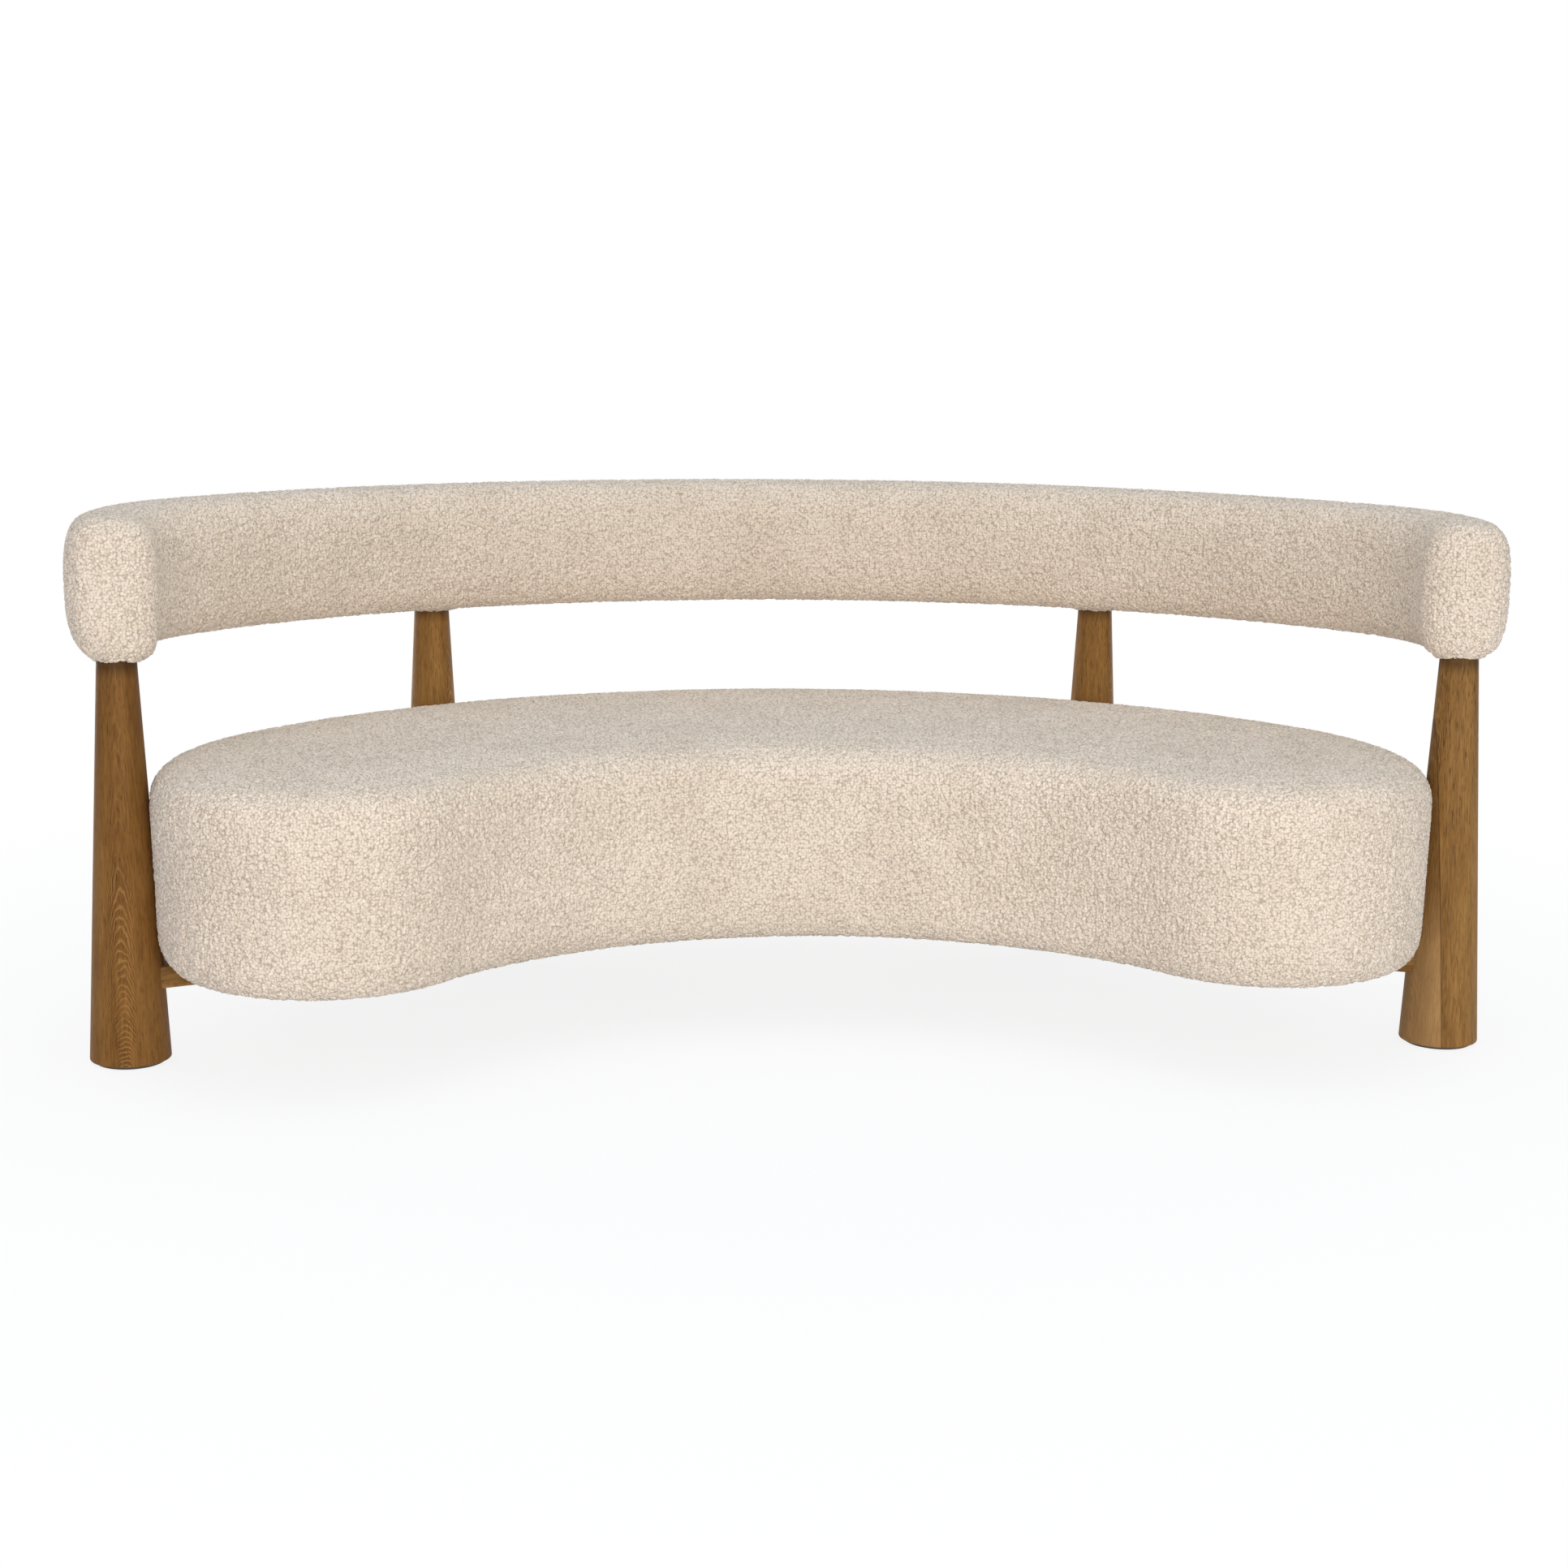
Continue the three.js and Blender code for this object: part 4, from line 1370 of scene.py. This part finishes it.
@dataclass
class SeatPlan:
    """The seat's outline from above: four kinds of arc, mirrored left to right.

    Attributes:
        arc_origin: The centre of the back rail's long arc.
        outer_radius: The rear edge's radius.
        outer_degrees: How far the rear arc turns from the middle.
        shoulder_radius: The radius where the outline turns to the side.
        shoulder_degrees: How far that arc turns.
        lobe_radius: The radius round the seat's two front lobes.
        depth: Front to back in the middle.
        rear: The distance from the arc's origin to the rear edge.
        steps: Steps of the rear, shoulder, lobe and front arcs of one half.
    """

    arc_origin: Vector
    outer_radius: float = 1043.5 * MM
    outer_degrees: float = 55.0
    shoulder_radius: float = 465.0 * MM
    shoulder_degrees: float = 56.8
    lobe_radius: float = 237.0 * MM
    depth: float = 695.5 * MM
    rear: float = 1143.0 * MM
    steps: tuple[int, int, int, int] = (28, 16, 16, 20)

    def arcs(self, height: float = 0.0) -> tuple[Vector, Vector, Vector, Vector]:
        """Finds the centres of the rear, shoulder, lobe and front arcs of the right half.

        Args:
            height: The height above the floor that they are wanted at.

        Returns:
            The four centres.
        """
        base = self.arc_origin + UP * height
        outer = base + Vector((0.0, self.rear - self.outer_radius, 0.0))
        shoulder = outer + self.way(self.turns[0]) * (self.outer_radius - self.shoulder_radius)
        lobe = shoulder + self.way(self.turns[1]) * (self.shoulder_radius - self.lobe_radius)
        front_edge = base.y + self.rear - self.depth
        forward = lobe.y - front_edge
        square = lobe.x ** 2 + forward ** 2 - self.lobe_radius ** 2
        front_radius = square / (2.0 * (self.lobe_radius - forward))
        return outer, shoulder, lobe, Vector((0.0, front_edge - front_radius, height))

    @property
    def turns(self) -> tuple[float, float]:
        """The angles, from the middle, at which the rear arc and the shoulder end."""
        first = math.radians(self.outer_degrees)
        return first, first + math.radians(self.shoulder_degrees)

    def inset_of(self, rows: np.ndarray) -> np.ndarray:
        """Works out how far inside the outline points lie.

        Args:
            rows: Points as rows of x, y and z.

        Returns:
            The inset of each in metres.
        """
        outer, shoulder, lobe, front = self.arcs()
        across = np.abs(rows[:, 0])

        def seen_from(centre: Vector) -> tuple[np.ndarray, np.ndarray]:
            """Gives each point's angle from +Y and its distance, seen from a centre."""
            x, y = across - centre.x, rows[:, 1] - centre.y
            return np.mod(np.arctan2(x, y), 2.0 * math.pi), np.hypot(x, y)

        rear_angle, rear_away = seen_from(outer)
        shoulder_angle, shoulder_away = seen_from(shoulder)
        front_angle, front_away = seen_from(front)
        in_bay = front_angle < math.atan2(lobe.x, lobe.y - front.y)
        front_radius = (lobe - front).length - self.lobe_radius
        in_lobe = np.where(in_bay, np.inf, self.lobe_radius - seen_from(lobe)[1])
        side = np.where(shoulder_angle < self.turns[1], self.shoulder_radius - shoulder_away, in_lobe)
        round_it = np.where(rear_angle < self.turns[0], self.outer_radius - rear_away, side)
        bay = np.where(in_bay, front_away - front_radius, np.inf)
        return np.minimum(round_it, bay)

    def ring(self, bm: BMesh, inset: float, height: float) -> list[Edge]:
        """Draws the outline, drawn in by an inset, as a closed ring.

        Args:
            bm: The mesh to draw in.
            inset: How far inside the outline the ring lies.
            height: Its height above the floor.

        Returns:
            The ring's edges.
        """
        centres = self.arcs(height)
        outer, _, lobe, front = centres
        turn, second = self.turns
        front_turn = math.atan2(lobe.x, lobe.y - front.y)
        angles = (turn, second - turn, math.pi + front_turn - second, -front_turn)
        before = set(bm.edges)
        start = outer + Vector((0.0, self.outer_radius - inset, 0.0))
        ring_from(bm, start, tuple(zip(centres, angles, self.steps)))
        half = [edge for edge in bm.edges if edge not in before]
        corners = {corner for edge in half for corner in edge.verts}
        copied = bmesh.ops.duplicate(bm, geom=half + list(corners))["geom"]
        twins = [item for item in copied if isinstance(item, Corner)]
        bmesh.ops.scale(bm, vec=(-1.0, 1.0, 1.0), verts=twins)
        bmesh.ops.remove_doubles(bm, verts=twins + list(corners), dist=SEAM)
        return [edge for edge in bm.edges if edge not in before]

    @staticmethod
    def way(angle: float) -> Vector:
        """The unit vector at an angle from +Y towards +X."""
        return Vector((math.sin(angle), math.cos(angle), 0.0))


@dataclass
class SeatCover(Upholstery):
    """The upholstered seat.

    Attributes:
        plan: Its outline.
        underside: Its lowest height.
        top_edge: The height of the flat part of its top edge.
        crown: How much the middle stands higher.
        crown_reach: How far in from the outline the crown goes on rising.
        top_rounding: The radius of its upper edge.
        bottom_rounding: The radius of its lower edge.
        taper: How far its sides draw in towards the floor.
        cover_return: How far the cover is turned under.
        recess: How far the cover's mouth opens upwards above the dust cloth.
        steps: Rings in each rounding and in the crown.
        under_band: The height of the band that counts as the underside.
        under_pile: The share of the pile that is left there.
        under_slack: How far that pile may hang below the underside.
    """

    plan: Optional[SeatPlan] = None
    underside: float = 143.0 * MM
    top_edge: float = 432.5 * MM
    crown: float = 12.0 * MM
    crown_reach: float = 190.0 * MM
    top_rounding: float = 43.0 * MM
    bottom_rounding: float = 40.0 * MM
    taper: float = 6.5 * MM
    cover_return: float = 45.0 * MM
    recess: float = 5.0 * MM
    steps: int = 6
    under_band: float = 0.6 * MM
    under_pile: float = 0.35
    under_slack: float = 0.1 * MM

    def levels(self) -> list[tuple[float, float]]:
        """Lists the insets and heights of the rings that shape the seat, from the mouth upwards.

        Returns:
            Pairs of inset and height.
        """
        widest = self.top_edge - self.top_rounding
        quarter = [math.pi / 2 * step / self.steps for step in range(self.steps + 1)]
        rows = [(self.bottom_rounding + self.cover_return, self.underside)]
        rows += [(self.bottom_rounding * (1.0 - math.sin(angle)),
                  self.underside + self.bottom_rounding * (1.0 - math.cos(angle))) for angle in quarter]
        rows.append((0.0, (self.underside + self.bottom_rounding + widest) / 2))
        rows += [(self.top_rounding * (1.0 - math.cos(angle)), widest + self.top_rounding * math.sin(angle))
                 for angle in quarter]
        for step in range(1, self.steps + 1):
            share = step / self.steps
            inset = self.top_rounding + (self.crown_reach - self.top_rounding) * share
            rise = self.crown * math.sin(math.pi / 2 * share) - self.room * share
            rows.append((inset, self.top_edge + rise))
        drawn = []
        for inset, height in rows:
            rise = (height - self.underside) / (widest - self.underside)
            drawn.append((inset + self.taper * max(0.0, 1.0 - rise), height))
        return drawn

    def form(self) -> Piece:
        """Bridges the rings into one closed form.

        Returns:
            The smooth seat.
        """
        bm = bmesh.new()
        rings = [self.plan.ring(bm, inset, height) for inset, height in self.levels()]
        for lower, upper in zip(rings, rings[1:]):
            bmesh.ops.bridge_loops(bm, edges=lower + upper)
        for end in (rings[0], rings[-1]):
            bmesh.ops.contextual_create(bm, geom=end)
        return finished(bm, "boucle_seat")

    def pressed(self, rows: np.ndarray, gap: float) -> np.ndarray:
        """Pushes the surface off the legs that it leans against.

        Args:
            rows: The mesh's corners.
            gap: The gap to keep.

        Returns:
            The corners, with those inside a leg moved out to its surface.
        """
        for leg in self.legs:
            way = rows[:, :2] - np.array(leg.axis[:2])
            away = np.linalg.norm(way, axis=1)
            missing = leg.radius_at(rows[:, 2]) + gap - away
            inside = (missing > 0.0) & (rows[:, 2] < leg.high.z)
            rows[inside, :2] += way[inside] * (missing[inside] / np.maximum(away[inside], MM))[:, None]
        return rows

    def build(self) -> None:
        """Makes the seat, raises its pile and closes its underside."""
        piece = self.form()
        self.swollen(piece)
        self.refined(piece)
        rows = self.pressed(places(piece), self.clearance)
        under = rows[:, 2] < self.underside + self.under_band
        mouth = self.bottom_rounding + self.cover_return + self.taper
        rows[under, 2] += self.recess * eased((self.plan.inset_of(rows[under]) - mouth) / self.recess)
        move_to(piece, rows)
        self.raise_pile(piece, np.where(under, self.under_pile, 1.0))
        rows = self.pressed(places(piece), self.clearance / 2)
        rows[:, 2] = np.maximum(rows[:, 2], self.underside - self.under_slack)
        move_to(piece, rows)
        self.dressed(piece, "seat_cover", "seat_foam")


@dataclass
class BackRail(Upholstery):
    """The upholstered rail that runs round the seat as back and arms.

    Attributes:
        arc_radius: The radius of its long arc, to the middle of the rail.
        arc_degrees: How far that arc turns from the middle.
        end_radius: The radius of the tighter arc at each end.
        end_degrees: How far that arc turns.
        arc_steps: Steps of the long arc and of the tighter one.
        thickness: Front to back.
        squareness: How square the section is: 2 is an ellipse.
        section_points: Corners of the section.
        end_rounding: The radius of the edges at its ends.
        hang_start: How far in front of the middle the ends start to hang.
        hang_reach: The distance over which that grows.
        left_lean: How far the foot of its left end is drawn inwards.
        right_lean: The same at its right end.
        right_sag: How far the top of its right end hangs lower.
        sag_start: How far right of the middle that starts.
        sag_reach: The distance over which it grows.
        puff: How far the cover bulges down round a leg.
        puff_reach: How far from the leg that bulge reaches.
        socket_gap: The gap above a leg's top.
        low: The lowest corner of its node's box.
        high: The highest corner of that box.
        arc_origin: The centre of its long arc.
    """

    arc_radius: float = 1149.0 * MM
    arc_degrees: float = 52.7
    end_radius: float = 370.5 * MM
    end_degrees: float = 60.8
    arc_steps: tuple[int, int] = (24, 9)
    thickness: float = 128.0 * MM
    squareness: float = 3.7
    section_points: int = 64
    end_rounding: float = 40.0 * MM
    hang_start: float = 0.12
    hang_reach: float = 0.18
    left_lean: float = 8.0 * MM
    right_lean: float = 2.5 * MM
    right_sag: float = 3.5 * MM
    sag_start: float = 0.30
    sag_reach: float = 0.65
    puff: float = 4.0 * MM
    puff_reach: float = 12.0 * MM
    socket_gap: float = 0.12 * MM
    low: Vector = field(init=False)
    high: Vector = field(init=False)
    arc_origin: Vector = field(init=False)

    def __post_init__(self) -> None:
        """Reads the rail's box from the frame and finds its centre in it."""
        self.low, self.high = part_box("rail_cover")
        self.arc_origin = Vector((0.0, self.high.y - self.arc_radius - self.thickness / 2, 0.0))

    def section(self, bm: BMesh) -> list[Edge]:
        """Draws the squarish round section at the middle of the rail.

        Args:
            bm: The mesh to draw in.

        Returns:
            The section's edges.
        """
        low, high = self.low.z, self.high.z
        made = bmesh.ops.create_circle(bm, segments=self.section_points, radius=1.0)
        power = 2.0 / self.squareness
        middle = self.arc_origin + Vector((0.0, self.arc_radius, (low + high) / 2))
        for corner in made["verts"]:
            out, up = corner.co.x, corner.co.y
            half = self.thickness / 2 - (self.room if out < 0.0 else 0.0)
            depth = math.copysign(abs(out) ** power, out) * half
            rise = math.copysign(abs(up) ** power, up) * (high - low) / 2
            corner.co = middle + Vector((0.0, depth, rise))
        return list({edge for corner in made["verts"] for edge in corner.link_edges})

    def form(self) -> Piece:
        """Spins the section along both arcs, closes and rounds the end, and mirrors the half.

        Returns:
            The smooth rail.
        """
        bm = bmesh.new()
        edges = self.section(bm)
        geometry = edges + [corner for edge in edges for corner in edge.verts]
        turns = (math.radians(self.arc_degrees), math.radians(self.end_degrees))
        end_centre = self.arc_origin + SeatPlan.way(turns[0]) * (self.arc_radius - self.end_radius)
        for centre, angle, steps in zip((self.arc_origin, end_centre), turns, self.arc_steps):
            geometry = bmesh.ops.spin(bm, geom=list(set(geometry)), cent=centre, axis=-UP, angle=angle,
                                      steps=steps)["geom_last"]
        rim = [item for item in geometry if isinstance(item, Edge)]
        bmesh.ops.contextual_create(bm, geom=rim)
        rounded(bm, rim, self.end_rounding, 9)
        bmesh.ops.mirror(bm, geom=bm.verts[:] + bm.edges[:] + bm.faces[:], axis="X", merge_dist=2.0 * SEAM)
        bmesh.ops.remove_doubles(bm, verts=bm.verts, dist=SEAM)
        return finished(bm, "boucle_back_rail")

    def hung(self, rows: np.ndarray) -> np.ndarray:
        """Draws the foot of each end inwards and lets the top of the right end hang a little.

        Args:
            rows: The mesh's corners.

        Returns:
            The moved corners.
        """
        upness = (2.0 * rows[:, 2] - self.low.z - self.high.z) / (self.high.z - self.low.z)
        at_end = eased((-rows[:, 1] - self.hang_start) / self.hang_reach)
        lean = np.where(rows[:, 0] > 0.0, -self.right_lean, self.left_lean)
        rows[:, 0] += lean * at_end * np.clip(-upness, 0.0, 1.0) ** 2
        to_right = eased((rows[:, 0] - self.sag_start) / self.sag_reach)
        rows[:, 2] -= self.right_sag * to_right * np.clip(upness, 0.0, 1.0)
        return rows

    def socketed(self, rows: np.ndarray, gap: float) -> tuple[np.ndarray, np.ndarray]:
        """Opens a socket in the underside for each leg, and puffs the cover round it.

        Args:
            rows: The mesh's corners.
            gap: The gap to keep.

        Returns:
            The corners, and for each 1 where it is outside a socket and 0 inside.
        """
        outside = np.ones(len(rows))
        for leg in self.legs:
            away = np.linalg.norm(rows[:, :2] - np.array(leg.axis[:2]), axis=1)
            below = rows[:, 2] < leg.high.z
            inside = below & (away < leg.radius_at(rows[:, 2]) + gap)
            near = below & ~inside
            bulge = np.exp(-((away - leg.foot_radius * leg.top_share) / self.puff_reach) ** 2)
            rows[near, 2] -= (self.puff * bulge)[near]
            rows[inside, 2] = leg.high.z + self.socket_gap
            outside[inside] = 0.0
        return rows, outside

    def build(self) -> None:
        """Makes the rail and raises its pile."""
        piece = self.form()
        self.swollen(piece)
        self.refined(piece)
        rows, outside = self.socketed(self.hung(places(piece)), self.clearance)
        move_to(piece, rows)
        self.raise_pile(piece, outside)
        self.dressed(piece, "rail_cover", "rail_foam")


@dataclass
class DustCover:
    """The black cloth that closes the seat's underside.

    Attributes:
        plan: The seat's outline.
        inset: How far inside the outline its edge lies.
        hem: The width of its folded edge.
        hem_drop: How much lower the folded edge hangs.
    """

    plan: SeatPlan
    inset: float = 91.8 * MM
    hem: float = 14.0 * MM
    hem_drop: float = 0.25 * MM

    def build(self) -> None:
        """Cuts the cloth, folds its hem and stretches it flat."""
        low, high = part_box("seat_dust_cover")
        bm = bmesh.new()
        face = bmesh.ops.contextual_create(bm, geom=self.plan.ring(bm, self.inset, low.z))["faces"]
        bmesh.ops.inset_region(bm, faces=face, thickness=self.hem)
        for corner in {corner for item in face for corner in item.verts}:
            corner.co.z += self.hem_drop
        bmesh.ops.solidify(bm, geom=bm.faces[:], thickness=-0.5 * (high.z - low.z))
        piece = finished(bm, "dust_cloth", DustClothFinish("dust_cloth_black", "dust_cloth"))
        declare(piece, "dust_cloth", "seat_dust_cover")


@dataclass
class HiddenFrame:
    """The boards, blocks and steel inside seat and rail, which keep their own shapes.

    Attributes:
        plywood: The nodes of plywood.
        hardboard: The nodes of hardboard.
        steel: The nodes of steel.
    """

    plywood: tuple[str, ...] = ("seat_base_panel", "seat_skirt", "seat_deck", "rail_bottom_board",
                                "rail_top_board", "rail_block_middle",
                                *(f"seat_rib_{number}" for number in range(1, 6)),
                                *(f"rail_block_{name}" for name in LEG_NAMES))
    hardboard: tuple[str, ...] = ("rail_skin_outer", "rail_skin_inner")
    steel: tuple[str, ...] = (*(f"leg_stud_{name}" for name in LEG_NAMES),
                              *(f"tee_nut_{name}" for name in BOLT_NAMES))

    def dress(self) -> None:
        """Gives each node its finish."""
        groups = ((self.plywood, PlywoodFinish("birch_plywood", "plywood")),
                  (self.hardboard, HardboardFinish("brown_hardboard", "hardboard")), (self.steel, ZINC))
        for names, finish in groups:
            for name in names:
                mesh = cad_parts[name].data
                mesh.materials.clear()
                mesh.materials.append(finish.material())
            LOG.info("%s: %d hidden pieces", finish.name, len(names))


# Studio


@dataclass
class Camera:
    """The photograph's viewpoint.

    Attributes:
        at: Where the camera stands.
        yaw: Its turn from +Y towards +X, in radians.
        pitch: How far it looks down, in radians.
        roll: Its turn about the line of sight, in radians.
        lens: Focal length in millimetres.
        sensor: The sensor's width in millimetres.
    """

    at: Triple = (-0.3517, -4.0122, 1.0949)
    yaw: float = 0.0875
    pitch: float = 0.1835
    roll: float = 0.0099
    lens: float = 59.90
    sensor: float = 36.0

    def place(self) -> None:
        """Sets the camera up and makes it the scene's."""
        level = math.cos(self.pitch)
        forward = Vector((math.sin(self.yaw) * level, math.cos(self.yaw) * level, -math.sin(self.pitch)))
        right = Vector((math.cos(self.yaw), -math.sin(self.yaw), 0.0))
        upward = right.cross(forward)
        across = right * math.cos(self.roll) + upward * math.sin(self.roll)
        over = upward * math.cos(self.roll) - right * math.sin(self.roll)
        data = bpy.data.cameras.new("photo_view")
        data.lens, data.sensor_width = self.lens, self.sensor
        camera = added("photo_view", data)
        turn = Matrix((across, over, -forward)).transposed()
        camera.matrix_world = Matrix.Translation(self.at) @ turn.to_4x4()
        bpy.context.scene.camera = camera


@dataclass
class Softbox:
    """A large square soft lamp.

    Attributes:
        name: The lamp's name.
        at: Where it stands.
        size: Its width and height.
        power: Its power in watts.
        colour: Its colour.
        aim: What it points at.
    """

    name: str
    at: Triple
    size: float
    power: float
    colour: Colour
    aim: Triple = (0.0, 0.0, 0.45)

    def place(self) -> None:
        """Hangs the lamp."""
        data = bpy.data.lights.new(self.name, "AREA")
        data.shape = "RECTANGLE"
        data.size = data.size_y = self.size
        data.energy, data.color = self.power, self.colour
        way = Vector(self.aim) - Vector(self.at)
        turn = way.to_track_quat("-Z", "Y").to_matrix().to_4x4()
        added(self.name, data).matrix_world = Matrix.Translation(self.at) @ turn


@dataclass
class Studio:
    """A white floor that fades into a white background, and soft light.

    Attributes:
        reach: Half the floor's width.
        tone: The floor's own colour.
        sky: The colour and strength of the soft light from above.
        near: How far from the sofa's middle the floor starts to fade into white.
        far: Where it is wholly white.
        near_share: The share of the near floor's tone that shadows don't darken.
    """

    reach: float = 30.0
    tone: Colour = (0.84, 0.84, 0.84)
    sky: Colour = (0.750, 0.826, 0.953)
    near: float = 0.9
    far: float = 2.2
    near_share: float = 0.86

    def floor(self) -> None:
        """Lays the floor."""
        bm = bmesh.new()
        bmesh.ops.create_grid(bm, x_segments=1, y_segments=1, size=self.reach)
        piece = finished(bm, "studio_floor")
        made = bpy.data.materials.new("studio_white")
        graph = fresh_graph(made)
        matt = graph.fill(graph.node("ShaderNodeBsdfDiffuse"), {"Color": (*self.tone, 1.0)})
        glow = graph.fill(graph.node("ShaderNodeEmission"), {"Strength": 1.0})
        white = graph.ranged(graph.length(graph.own_place()), self.near, self.far, self.near_share, 1.0)
        seen = graph.times(graph.in_sight(), white)
        graph.surface("ShaderNodeOutputMaterial", seen, matt.outputs[0], glow.outputs[0])
        piece.data.materials.append(made)

    def background(self) -> None:
        """Makes the world white to the camera and a soft light from above to everything else."""
        world = bpy.data.worlds.new("studio")
        graph = fresh_graph(world)
        height = graph.part(graph.node("ShaderNodeTexCoord").outputs["Generated"], Axis.Z)
        sky = graph.shades(graph.ranged(height, 0.1, 0.9), (0.0, (0.0, 0.0, 0.0)), (1.0, self.sky))
        soft = graph.fill(graph.node("ShaderNodeBackground"), {"Color": sky})
        white = graph.fill(graph.node("ShaderNodeBackground"), {"Color": (1.0, 1.0, 1.0, 1.0)})
        graph.surface("ShaderNodeOutputWorld", graph.in_sight(), soft.outputs[0], white.outputs[0])
        bpy.context.scene.world = world

    def light(self) -> None:
        """Hangs the lamps: a broad warm one in front, weaker ones at both sides and above, and two behind."""
        lamps = (Softbox("front", (0.0, -5.0, 1.2), 2.5, 109.0, (1.0, 0.913, 0.847)),
                 Softbox("front_right", (2.6, -4.4, 0.9), 2.0, 41.5, (0.93, 0.99, 1.0)),
                 Softbox("front_left", (-3.2, -4.0, 1.5), 2.0, 28.5, (1.0, 0.99, 0.995)),
                 Softbox("above", (0.0, -0.6, 4.0), 2.5, 29.0, (0.90, 1.0, 0.98)),
                 Softbox("back_left", (-3.6, 3.4, 0.7), 2.5, 90.0, (1.0, 0.94, 0.87)),
                 Softbox("back_right", (3.6, 3.4, 0.7), 2.5, 90.0, (1.0, 0.94, 0.87)))
        for lamp in lamps:
            lamp.place()

    def build(self) -> None:
        """Builds the whole studio."""
        self.floor()
        self.background()
        self.light()
        bpy.context.scene.view_settings.view_transform = "Standard"


# The sofa


def leg_finishes() -> dict[str, OakFinish]:
    """Chooses the oak of each leg: a dark one with arched grain, one of two glued staves, and two plain ones.

    Returns:
        A finish for each leg's name.
    """
    wood = {
        "front_left": dict(heart=(0.0, 0.30), bow=0.020, bow_length=0.16, tilt=0.04, rings=1250.0,
                           ring_strength=0.62, fade_height=0.22, flecks=0.15, tone=(0.88, 0.79, 0.645)),
        "front_right": dict(heart=(0.16, 0.05), bow=0.004, rings=800.0, ring_strength=0.25, flecks=0.65,
                            joint=(-13.0 * MM, -0.041), tone=(1.15, 1.145, 1.13)),
        "rear_left": dict(heart=(-0.24, 0.15), rings=1200.0, ring_strength=0.55, flecks=0.3,
                          tone=(1.24, 1.20, 1.08)),
        "rear_right": dict(heart=(-0.12, 0.10), bow=0.01, flecks=0.4, tone=(1.20, 1.16, 1.04)),
    }
    return {name: OakFinish(f"oak_leg_{name}", "oak", origin=tuple(floor_point(f"leg_{name}")), **wood[name])
            for name in LEG_NAMES}


def build_sofa() -> None:
    """Builds the camera, the studio and every piece of the sofa, in order."""
    Camera().place()
    Studio().build()
    legs = {name: Leg(name, finish) for name, finish in leg_finishes().items()}
    for name, leg in legs.items():
        leg.build()
        Glide(name).build()
    CrossBar("left").build(legs["front_left"], legs["rear_right"])
    CrossBar("right").build(legs["front_right"], legs["rear_left"])
    for name in BOLT_NAMES:
        FrameBolt(name).build()
    rail = BackRail(tuple(legs.values()))
    rail.build()
    plan = SeatPlan(rail.arc_origin)
    SeatCover(tuple(legs.values()), plan=plan).build()
    DustCover(plan).build()
    HiddenFrame().dress()


def main() -> None:
    """Builds everything and reports it."""
    logging.basicConfig(level=logging.INFO, format="%(name)s %(message)s")
    build_sofa()


if __name__ == "__main__":
    main()
